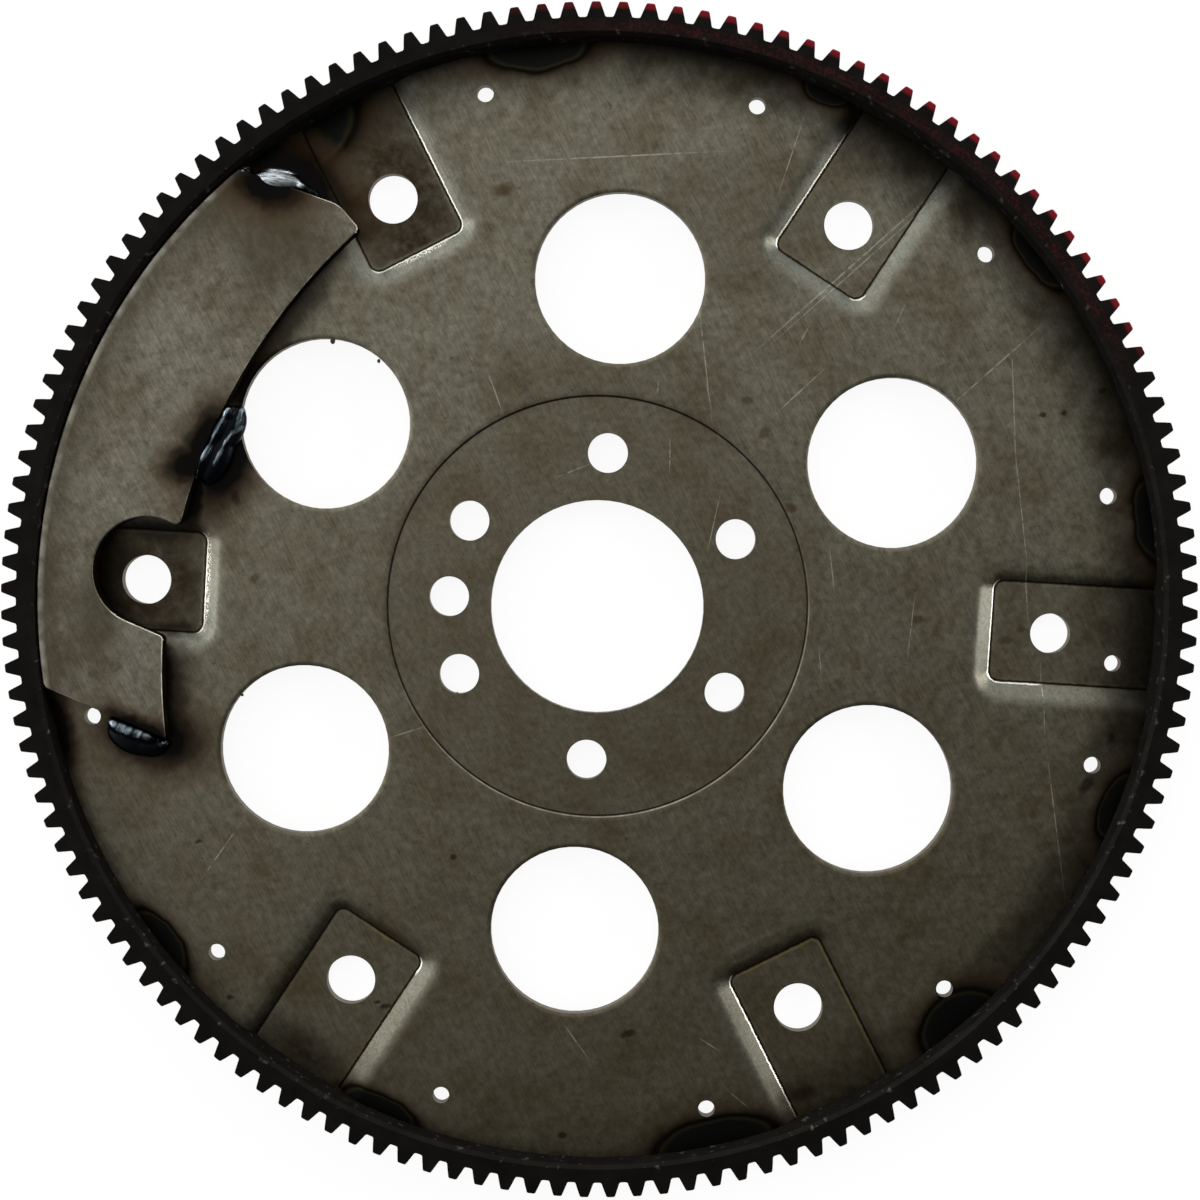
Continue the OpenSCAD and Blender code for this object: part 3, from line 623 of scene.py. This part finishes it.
def eased_normal(tree, facing, up, wall, radius, from_pad, sooner):
    """The surface's direction, turned upright where a pad's slope and the crank flat's step run out,
    so that they end softly."""
    fade = add(tree, "MapRange", {"Value": sooner, "From Min": 3.2, "From Max": 7.0, "To Max": 0.8})
    step = between(tree, radius, (HUB_R + 0.2, HUB_R + 0.5), (HUB_R + 3.0, HUB_R + 2.4))
    step = add(tree, "Math", {0: step, 1: 0.65}, operation="MULTIPLY")
    near_pad = add(tree, "MapRange", {"Value": from_pad, "From Min": 8.5, "From Max": 7.5})
    fade = add(tree, "Math", {0: fade, 1: near_pad}, operation="MULTIPLY")
    fade = add(tree, "Math", {0: fade, 1: step}, operation="MAXIMUM")
    upright = add(tree, "Math", {0: wall, 1: -1.0, 2: 1.0}, operation="MULTIPLY_ADD")
    fade = add(tree, "Math", {0: fade, 1: upright}, operation="MULTIPLY")
    side = add(tree, "Math", {0: up}, operation="SIGN")
    normal = add(tree, "Mix", {"Factor": fade, "A": facing, "B": add(tree, "CombineXYZ", {"Z": side})},
                 data_type="VECTOR")
    return add(tree, "VectorMath", {0: normal}, operation="NORMALIZE")


def disc_steel(colours, sizes):
    """Cold-rolled sheet steel, bare and handled: dull olive grey with rolling grain, brown stains,
    scratches down to bright metal, dirt in the creases, and heat tint where the welds are.
    Light is painted on too: highlights on the pads' slopes and the crank flat's step, and shade on the
    pads' slopes, in the creases, along the ring and beside the weight."""
    material, tree, shader, place = start_material("cold-rolled sheet steel, worn")
    tone, gloss, grain = worn_steel(tree, place, colours.disc, colours.disc_stain, sizes)
    from_pad = pad_distance(tree, wavering(tree, place, 1.2, 0.5))
    tone, drift = near_darkening_and_film(tree, tone, place)
    facing = add(tree, "NewGeometry").outputs["Normal"]
    tilt = add(tree, "SeparateXYZ", {0: facing})
    up = tilt.outputs["Z"]
    tone, turned, outward = pad_slopes(tree, tone, place, from_pad, drift, tilt)
    tone = pad_edges(tree, tone, place, from_pad)
    tone, patchy = oil_and_spots(tree, tone, place, from_pad)
    tone = scratched(tree, tone, place)
    flat, radius = from_axis(tree, place)
    tone = rim_shade_and_soot(tree, tone, place, flat, radius, from_pad)
    tone = heat_soot_and_shade(tree, tone, place)
    tone = creases(tree, tone, flat, radius, from_pad, patchy)
    tone, wall = hole_walls(tree, tone, up, radius)
    # Slopes that face the near side fade out sooner.
    sooner = add(tree, "Math", {0: turned, 1: 5.0, 2: outward}, operation="MULTIPLY_ADD")
    normal = eased_normal(tree, facing, up, wall, radius, from_pad, sooner)
    bump = add(tree, "Bump", {"Height": grain, "Strength": 0.15, "Distance": 0.02 * MM, "Normal": normal})
    wire(tree, shader, base_color=tone, metallic=1.0, roughness=gloss, normal=bump,
         specular_tint=EDGE_TINT)
    return material


def ring_steel(colours):
    """Black-oxide steel: near black and dull, its inner front edge rubbed bright in flecks, with
    remains of red marking paint on some tooth tips and on the front face."""
    material, tree, shader, place = start_material("black-oxide steel with marking paint")
    patches = add(tree, "TexNoise", {"Vector": place, "Scale": 1 / 6, "Detail": 4.0})
    tone = add(tree, "Mix", {"Factor": patches, "A": linear("#0D0C0B"), "B": colours.ring},
               data_type="RGBA")
    _, radius = from_axis(tree, place)
    axes = add(tree, "SeparateXYZ", {0: place})
    angle = add(tree, "Math", {0: axes.outputs["Y"], 1: axes.outputs["X"]}, operation="ARCTAN2")
    # Paint: between two angles, on the tooth tips and in a speckled band on the front face.
    arc = between(tree, angle, PAINT_BEGINS, PAINT_ENDS)
    tips = add(tree, "MapRange", {"Value": radius, "From Min": 174.6, "From Max": 175.6, "To Max": 0.8})
    speckle = mottled(tree, place, 0.9, 4.0, (0.46, 0.70), (0.0, 0.224))
    band = between(tree, radius, (168.3, 169.0), (172.2, 171.2))
    band = add(tree, "Math", {0: band, 1: speckle}, operation="MULTIPLY")
    painted = add(tree, "Math", {0: tips, 1: band}, operation="MAXIMUM")
    painted = add(tree, "Math", {0: painted, 1: arc}, operation="MULTIPLY")
    tone = add(tree, "Mix", {"Factor": painted, "A": tone, "B": colours.paint}, data_type="RGBA")
    # Rubbed flecks on the front inner edge.
    edge = add(tree, "MapRange", {"Value": radius, "From Min": 169.4, "From Max": 168.6})
    rub = mottled(tree, place, 2.5, 4.0, (0.62, 0.76), (0.0, 0.3))
    fleck = add(tree, "Math", {0: edge, 1: rub}, operation="MULTIPLY")
    tone = add(tree, "Mix", {"Factor": fleck, "A": tone, "B": linear("#77756B")}, data_type="RGBA")
    metal = add(tree, "MapRange", {"Value": painted, "To Min": 1.0, "To Max": 0.0})
    shader.inputs["Specular IOR Level"].default_value = 0.2
    wire(tree, shader, base_color=tone, metallic=metal, roughness=0.68, specular_tint=EDGE_TINT)
    return material


def weight_steel(colours, sizes):
    """Sheared steel plate: as dull as the disc, rubbed bright along its edges, with dirty parts, soot from
    the welds, and painted shade on its walls."""
    material, tree, shader, place = start_material("sheared steel plate, rubbed edges")
    tone, gloss, grain = worn_steel(tree, place, colours.weight, colours.weight_stain, sizes)
    heat_place = wavering(tree, place, 5.0, 5.0)
    tone = spotted(tree, tone, wavering(tree, place, 12.0, 10.0), WEIGHT_DIRT, (1.4, 0.4), 0.7, WEIGHT_MUD)
    # Dirt lies along the outer arc, and the arc's own edge is rubbed.
    _, radius = from_axis(tree, place)
    along = add(tree, "MapRange", {"Value": radius, "From Min": 154.0, "From Max": 162.5, "To Max": 0.45})
    tone = add(tree, "Mix", {"Factor": along, "A": tone, "B": linear(WEIGHT_MUD)}, data_type="RGBA")
    arc = add(tree, "MapRange", {"Value": radius, "From Min": 164.6, "From Max": 166.8, "To Max": 0.8})
    freckled = mottled(tree, place, 4.0, 7.0, (0.50, 0.68), (0.0, 0.6), 0.8)
    tone = add(tree, "Mix", {"Factor": freckled, "A": tone, "B": linear("#3A3327")}, data_type="RGBA")
    # The bevel is rubbed, but not round the notch, and the walls below it are darkened with painted shade.
    up = add(tree, "SeparateXYZ", {0: add(tree, "NewGeometry").outputs["Normal"]}).outputs["Z"]
    worn = between(tree, up, (0.25, 0.6), (0.995, 0.95))
    worn = add(tree, "Math", {0: worn, 1: arc}, operation="MAXIMUM")
    wall = add(tree, "MapRange", {"Value": up, "From Min": 0.3, "From Max": 0.1, "To Max": 0.9})
    tone = add(tree, "Mix", {"Factor": wall, "A": tone, "B": linear("#14120E")}, data_type="RGBA")
    rough_edge = mottled(tree, place, 5.0, 5.0, (0.4, 0.6), (0.25, 0.9))
    worn = add(tree, "Math", {0: worn, 1: rough_edge}, operation="MULTIPLY")
    outside = add(tree, "MapRange", {"Value": nearest(tree, place, WEIGHT_NOTCH), "From Min": 0.95,
                                     "From Max": 1.05})
    worn = add(tree, "Math", {0: worn, 1: outside}, operation="MULTIPLY")
    tone = add(tree, "Mix", {"Factor": worn, "A": tone, "B": linear("#A9A598")}, data_type="RGBA")
    tone = faded(tree, tone, nearest(tree, heat_place, WEIGHT_SOOT), SOOT_AND_SHADE_END, BLACK_SOOT_AND_SHADE)
    bump = add(tree, "Bump", {"Height": grain, "Strength": 0.15, "Distance": 0.02 * MM})
    wire(tree, shader, base_color=tone, metallic=1.0, roughness=gloss, normal=bump,
         specular_tint=EDGE_TINT)
    return material


def weld_metal(name, colour, streak_turn):
    """Weld metal as it froze: smooth, dark under its scale, bright and bluish on its ridges, partly bare
    metal and partly painted highlight, with fine lines along the bead."""
    material, tree, shader, place = start_material(name)
    lines = add(
        tree, "Mapping",
        {"Vector": place, "Rotation": (0, 0, math.radians(streak_turn)), "Scale": (3.5, 0.45, 2.0)},
        vector_type="TEXTURE",
    )
    lines = add(tree, "TexNoise", {"Vector": lines, "Scale": 1.0, "Detail": 3.0, "Roughness": 0.6})
    # Bare weld metal on the ridges, brightened as painted highlights.
    reach = nearest(tree, wavering(tree, place, 1.5, 0.9), LIT_WELD_RIDGES)
    bright_ridges = add(tree, "MapRange", {"Value": reach, "From Min": 1.25, "From Max": 0.6})
    broken = add(tree, "MapRange", {"Value": lines, "From Min": 0.34, "From Max": 0.56, "To Min": 0.15})
    bright_ridges = add(tree, "Math", {0: bright_ridges, 1: broken}, operation="MULTIPLY")
    tone = add(tree, "Mix", {"Factor": bright_ridges, "A": linear(WELD_SCALE), "B": colour}, data_type="RGBA")
    gloss = add(tree, "MapRange", {"Value": bright_ridges, "To Min": 0.38, "To Max": 0.30})
    bump = add(tree, "Bump", {"Height": lines, "Strength": 0.35, "Distance": 0.15 * MM})
    wire(tree, shader, base_color=tone, metallic=1.0, roughness=gloss, normal=bump)
    return material


def dark_crust():
    """A dull black-brown crust that hardly shines: burnt scale and dried oil on the burrs, and dark dirt in
    the pads' corners that stands in for the ring's shade there.
    """
    material, tree, shader, _ = start_material("black crust and painted shade")
    wire(tree, shader, base_color=linear("#0C0B09"), roughness=0.8)
    return material


def floor_paper():
    """White background paper: plain white to the eye and to gloss, with a soft shadow."""
    material = bpy.data.materials.new("white background paper")
    material.use_nodes = True
    tree = material.node_tree
    tree.nodes.clear()
    matte = add(tree, "BsdfDiffuse", {"Color": linear("#F4F4F2")})
    glow = add(tree, "Emission", {"Color": (1, 1, 1, 1), "Strength": 1.0})
    path = add(tree, "LightPath")
    seen = add(tree, "Math", {0: path.outputs["Is Camera Ray"], 1: path.outputs["Is Glossy Ray"]},
               operation="MAXIMUM")
    seen = add(tree, "Math", {0: seen, 1: path.outputs["Is Transmission Ray"]}, operation="MAXIMUM")
    seen = add(tree, "Math", {0: seen, 1: FLOOR_WHITE}, operation="MULTIPLY")
    mixed = add(tree, "MixShader", {0: seen, 1: matte, 2: glow})
    add(tree, "OutputMaterial", {"Surface": mixed})
    return material


def studio_sky(scene):
    """Soft light, strong from low on the left and from the far side, weak from the near side."""
    world = bpy.data.worlds.new("studio")
    world.use_nodes = True
    tree = world.node_tree
    tree.nodes.clear()
    axes = add(tree, "SeparateXYZ", {0: add(tree, "TexCoord").outputs["Generated"]})
    height = add(
        tree, "ValToRGB", {"Fac": axes.outputs["Z"]},
        stops=[(at, (level, level, level, 1.0)) for at, level in SKY_LEVELS],
    )
    side = add(tree, "Math", {0: axes.outputs["Y"], 1: SKY_TO_FAR, 2: SKY_MIDDLE}, operation="MULTIPLY_ADD")
    side = add(tree, "Math", {0: axes.outputs["X"], 1: -SKY_TO_LEFT, 2: side}, operation="MULTIPLY_ADD")
    side = add(tree, "Clamp", {"Value": side, "Min": SKY_LIMITS[0], "Max": SKY_LIMITS[1]})
    level = add(tree, "Math", {0: side, 1: SKY_STRENGTH}, operation="MULTIPLY")
    sky = add(tree, "Background", {"Color": height, "Strength": level})
    add(tree, "OutputWorld", {"Surface": sky})
    scene.world = world


def pick(piece):
    """Makes one piece the only selected and active object."""
    bpy.ops.object.select_all(action="DESELECT")
    piece.select_set(True)
    bpy.context.view_layer.objects.active = piece


def merged_copy(node, name):
    """A copy of a CAD node with its loose triangles merged into one skin."""
    piece = bpy.data.objects.new(name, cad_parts[node].data.copy())
    bpy.context.scene.collection.objects.link(piece)
    pick(piece)
    bpy.ops.object.mode_set(mode="EDIT")
    bpy.ops.mesh.select_all(action="SELECT")
    bpy.ops.mesh.customdata_custom_splitnormals_clear()
    bpy.ops.mesh.remove_doubles(threshold=MERGE_WITHIN)
    bpy.ops.object.mode_set(mode="OBJECT")
    return piece


def finish_skin(piece, sharp_angle):
    """Smooths the curved faces and keeps the flat ones flat."""
    pick(piece)
    bpy.ops.object.shade_smooth_by_angle(angle=sharp_angle)
    weighted = piece.modifiers.new("flat faces", "WEIGHTED_NORMAL")
    weighted.keep_sharp = True
    bpy.ops.object.modifier_apply(modifier=weighted.name)


def dress(piece, material):
    """Gives a finished piece its material and its body."""
    piece.data.materials.clear()
    piece.data.materials.append(material)
    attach(piece, BODY)


def melted(name, drops, cut_z, keep_above, voxel):
    """A piece from overlapping drops, melted into one skin and cut flat at a height."""
    bpy.ops.object.select_all(action="DESELECT")
    piece = None
    for x, y, z, half_length, half_width, half_height, turn in drops:
        bpy.ops.mesh.primitive_uv_sphere_add(
            segments=24, ring_count=14, radius=MM,
            location=(x * MM, y * MM, z * MM), rotation=(0, 0, math.radians(turn)),
            scale=(half_length, half_width, half_height),
        )
        if piece is None:
            piece = bpy.context.object
            piece.name = name
            piece.data.name = name
            bpy.ops.object.transform_apply(location=True, rotation=True, scale=True)
            bpy.ops.object.mode_set(mode="EDIT")
    bpy.ops.object.mode_set(mode="OBJECT")
    melt = piece.modifiers.new("melt", "REMESH")
    melt.mode = "VOXEL"
    melt.voxel_size = voxel
    bpy.ops.object.modifier_apply(modifier=melt.name)
    bpy.ops.object.mode_set(mode="EDIT")
    bpy.ops.mesh.select_all(action="SELECT")
    bpy.ops.mesh.vertices_smooth(factor=0.5, repeat=7)
    bpy.ops.mesh.bisect(
        plane_co=(0, 0, cut_z), plane_no=(0, 0, 1), use_fill=True,
        clear_inner=keep_above, clear_outer=not keep_above,
    )
    bpy.ops.object.mode_set(mode="OBJECT")
    pick(piece)
    bpy.ops.object.shade_smooth_by_angle(angle=BEAD_SHARP)
    return piece


class FlexplateColours(bpy.types.PropertyGroup):
    """Colours of the finishes."""

    disc: bpy.props.FloatVectorProperty(
        name="Disc", description="Bare sheet of the disc", subtype="COLOR",
        size=4, min=0, max=1, default=linear("#605D51"))
    disc_stain: bpy.props.FloatVectorProperty(
        name="Disc stain", description="Brown mottling on the disc", subtype="COLOR",
        size=4, min=0, max=1, default=linear("#4C4535"))
    ring: bpy.props.FloatVectorProperty(
        name="Ring", description="Black oxide of the ring gear", subtype="COLOR",
        size=4, min=0, max=1, default=linear("#1C1A18"))
    paint: bpy.props.FloatVectorProperty(
        name="Marking paint", description="Red paint left on the ring", subtype="COLOR",
        size=4, min=0, max=1, default=linear("#640510"))
    weight: bpy.props.FloatVectorProperty(
        name="Weight", description="Plate of the balance weight", subtype="COLOR",
        size=4, min=0, max=1, default=linear("#615E53"))
    weight_stain: bpy.props.FloatVectorProperty(
        name="Weight stain", description="Brown mottling on the weight", subtype="COLOR",
        size=4, min=0, max=1, default=linear("#484133"))
    # The bright and dark weld colours lie on the beads' ridges, partly as painted highlight.
    weld_bright: bpy.props.FloatVectorProperty(
        name="Bright weld", description="Clean weld metal", subtype="COLOR",
        size=4, min=0, max=1, default=linear("#B2B8BC"))
    weld_dark: bpy.props.FloatVectorProperty(
        name="Dark weld", description="Weld metal under scale", subtype="COLOR",
        size=4, min=0, max=1, default=linear("#6B767D"))


class FlexplateSizes(bpy.types.PropertyGroup):
    """Sizes of the details that the finish adds."""

    grain_width: bpy.props.FloatProperty(
        name="Grain width", description="Width of a rolling streak", unit="LENGTH",
        default=0.5 * MM, min=0.1 * MM, max=3 * MM)
    grain_direction: bpy.props.FloatProperty(
        name="Grain direction", description="Direction of the rolling streaks", subtype="ANGLE",
        default=math.radians(-60))
    weight_edge: bpy.props.FloatProperty(
        name="Weight edge", description="Width of the rubbed edge of the weight", unit="LENGTH",
        default=0.45 * MM, min=0.1 * MM, max=1.5 * MM)
    bead_detail: bpy.props.FloatProperty(
        name="Bead detail", description="Size of the cells that a weld bead is melted from",
        unit="LENGTH", default=0.28 * MM, min=0.15 * MM, max=1 * MM)
    ripple: bpy.props.FloatProperty(
        name="Ripple", description="Distance between the ripples of a bead", unit="LENGTH",
        default=2.2 * MM, min=1 * MM, max=5 * MM)


class FLEXPLATE_OT_disc(bpy.types.Operator):
    """Smooths the pressed disc and gives it its worn steel."""

    bl_idname = "flexplate.disc"
    bl_label = "Disc"

    def execute(self, context):
        scene = context.scene
        piece = merged_copy("flex_disc", "pressed_disc")
        finish_skin(piece, DISC_SHARP)
        steel = disc_steel(scene.flexplate_colours, scene.flexplate_sizes)
        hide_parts("flex_disc")
        dress(piece, steel)
        return {"FINISHED"}


class FLEXPLATE_OT_ring(bpy.types.Operator):
    """Blackens the ring gear and leaves the marking paint on its teeth."""

    bl_idname = "flexplate.ring"
    bl_label = "Ring gear"

    def execute(self, context):
        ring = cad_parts["ring_gear"]
        ring.data.materials.clear()
        ring.data.materials.append(ring_steel(context.scene.flexplate_colours))
        return {"FINISHED"}


class FLEXPLATE_OT_weight(bpy.types.Operator):
    """Breaks the edges of the balance weight and gives it its plate steel."""

    bl_idname = "flexplate.weight"
    bl_label = "Balance weight"

    def execute(self, context):
        scene = context.scene
        piece = merged_copy("balance_weight", "weight_plate")
        bpy.ops.object.mode_set(mode="EDIT")
        bpy.ops.mesh.select_all(action="SELECT")
        bpy.ops.mesh.dissolve_limited(angle_limit=FLAT_WITHIN)
        bpy.ops.object.mode_set(mode="OBJECT")
        edge = piece.modifiers.new("edge", "BEVEL")
        edge.width = scene.flexplate_sizes.weight_edge
        edge.segments = 3
        edge.limit_method = "ANGLE"
        edge.angle_limit = RUBBED_FROM
        edge.use_clamp_overlap = False
        bpy.ops.object.modifier_apply(modifier=edge.name)
        finish_skin(piece, WEIGHT_SHARP)
        steel = weight_steel(scene.flexplate_colours, scene.flexplate_sizes)
        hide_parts("balance_weight")
        dress(piece, steel)
        return {"FINISHED"}


class FLEXPLATE_OT_weight_welds(bpy.types.Operator):
    """Lays the three weld beads that hold the balance weight."""

    bl_idname = "flexplate.weight_welds"
    bl_label = "Weight welds"

    def execute(self, context):
        colours = context.scene.flexplate_colours
        voxel = context.scene.flexplate_sizes.bead_detail
        for name, drops, colour, streak_turn, slot in (
            ("upper", UPPER_BEAD, colours.weld_bright, -6.0, "weld_bright"),
            ("inner", INNER_BEAD, colours.weld_dark, 66.0, "weld_dark"),
            ("lower", LOWER_BEAD, colours.weld_dark, 60.0, "weld_dark"),
        ):
            metal = weld_metal(f"weld metal, {name} bead", colour, streak_turn)
            piece = melted(f"{name}_bead", drops, DISC_FRONT + BEAD_LIFT, True, voxel)
            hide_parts(f"weight_weld_{name}")
            dress(piece, metal)
        return {"FINISHED"}


class FLEXPLATE_OT_seam_welds(bpy.types.Operator):
    """Lays the weld beads between the disc and the ring gear, on the back."""

    bl_idname = "flexplate.seam_welds"
    bl_label = "Seam welds"

    def execute(self, context):
        sizes = context.scene.flexplate_sizes
        colour = context.scene.flexplate_colours.weld_dark
        metal = weld_metal("weld metal under scale", colour, 0.0)
        length, width, height = SEAM_DROP
        ripple_turn = sizes.ripple / (RIM_R * MM)
        for number, (angle, half_span) in enumerate(SEAM_WELDS, start=1):
            centre = math.radians(angle)
            reach = math.radians(half_span) - SEAM_END / RIM_R
            count = max(3, round(2 * reach / ripple_turn))
            drops = []
            for step in range(count + 1):
                turn = centre - reach + 2 * reach * step / count
                swell = 1 - SEAM_TAPER * abs(2 * step / count - 1) ** 2
                drops.append((
                    RIM_R * math.cos(turn), RIM_R * math.sin(turn), DISC_BACK / MM,
                    length, width * swell, height * swell, math.degrees(turn) + 90,
                ))
            piece = melted(f"seam_bead_{number}", drops, DISC_BACK - BEAD_LIFT, False, sizes.bead_detail)
            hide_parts(f"seam_weld_{number}")
            dress(piece, metal)
        return {"FINISHED"}


class FLEXPLATE_OT_corner_fill(bpy.types.Operator):
    """Packs dark dirt into the corners between the pads and the ring, where it also stands in for the
    ring's shade, and leaves burrs on some holes.
    """

    bl_idname = "flexplate.grime"
    bl_label = "Corner fill and burrs"

    def execute(self, context):
        voxel = context.scene.flexplate_sizes.bead_detail
        crust = dark_crust()
        # Dark lumps in the slits at the pads' outer corners: dirt, and a stand-in for the ring's shade
        # there.
        drops = []
        for number in range(PAD_COUNT):
            for aside in (-1, 1):
                for reach in PAD_CORNER_REACH:
                    turn = 2 * math.pi * number / PAD_COUNT + aside * math.asin(reach / RIM_R)
                    drops.append((
                        CORNER_FILL_R * math.cos(turn), CORNER_FILL_R * math.sin(turn), CORNER_FILL_Z,
                        *CORNER_FILL_DROP, math.degrees(turn) + 90,
                    ))
        for name, group in (("rim_dirt_and_shade", drops), ("hole_burrs", BURRS)):
            piece = melted(name, group, BELOW_FILL_AND_BURRS, True, voxel)
            dress(piece, crust)
        return {"FINISHED"}


class FLEXPLATE_OT_stage(bpy.types.Operator):
    """Sets the floor, the soft lamps, the sky and the camera."""

    bl_idname = "flexplate.stage"
    bl_label = "Stage"

    def execute(self, context):
        scene = context.scene
        bpy.ops.object.select_all(action="DESELECT")
        bpy.ops.mesh.primitive_plane_add(size=FLOOR_WIDTH, location=(0, 0, REST_PLANE))
        floor = context.object
        floor.name = "studio_floor"
        floor.data.materials.append(floor_paper())
        for name, place, width, depth, power in LAMPS:
            lamp = bpy.data.lights.new(name, "AREA")
            lamp.shape = "RECTANGLE"
            lamp.size = width
            lamp.size_y = depth
            lamp.energy = power
            holder = bpy.data.objects.new(name, lamp)
            holder.location = place
            holder.rotation_euler = (-Vector(place)).to_track_quat("-Z", "Y").to_euler()
            scene.collection.objects.link(holder)
        studio_sky(scene)
        lens = bpy.data.cameras.new("camera")
        lens.lens = CAMERA_LENS
        lens.sensor_width = CAMERA_SENSOR
        lens.clip_start = 0.01
        camera = bpy.data.objects.new("camera", lens)
        camera.location = CAMERA_PLACE
        camera.rotation_euler = CAMERA_TURN
        scene.collection.objects.link(camera)
        scene.camera = camera
        scene.view_settings.view_transform = "Standard"
        return {"FINISHED"}


class FLEXPLATE_PT_panel(bpy.types.Panel):
    """Lists the finishing steps and their settings."""

    bl_idname = "FLEXPLATE_PT_panel"
    bl_label = "Flexplate"
    bl_space_type = "VIEW_3D"
    bl_region_type = "UI"
    bl_category = "Flexplate"

    def draw(self, context):
        layout = self.layout
        for group in (context.scene.flexplate_colours, context.scene.flexplate_sizes):
            column = layout.column()
            for name in group.bl_rna.properties.keys():
                if name not in ("rna_type", "name"):
                    column.prop(group, name)
        for step in STEPS:
            layout.operator(step.bl_idname)


STEPS = (
    FLEXPLATE_OT_disc,
    FLEXPLATE_OT_ring,
    FLEXPLATE_OT_weight,
    FLEXPLATE_OT_weight_welds,
    FLEXPLATE_OT_seam_welds,
    FLEXPLATE_OT_corner_fill,
    FLEXPLATE_OT_stage,
)
CLASSES = (FlexplateColours, FlexplateSizes, *STEPS, FLEXPLATE_PT_panel)


def register():
    for cls in CLASSES:
        bpy.utils.register_class(cls)
    bpy.types.Scene.flexplate_colours = bpy.props.PointerProperty(type=FlexplateColours)
    bpy.types.Scene.flexplate_sizes = bpy.props.PointerProperty(type=FlexplateSizes)


def unregister():
    del bpy.types.Scene.flexplate_sizes
    del bpy.types.Scene.flexplate_colours
    for cls in reversed(CLASSES):
        bpy.utils.unregister_class(cls)


def main():
    register()
    bpy.ops.flexplate.disc()
    bpy.ops.flexplate.ring()
    bpy.ops.flexplate.weight()
    bpy.ops.flexplate.weight_welds()
    bpy.ops.flexplate.seam_welds()
    bpy.ops.flexplate.grime()
    bpy.ops.flexplate.stage()


if __name__ == "__main__":
    main()
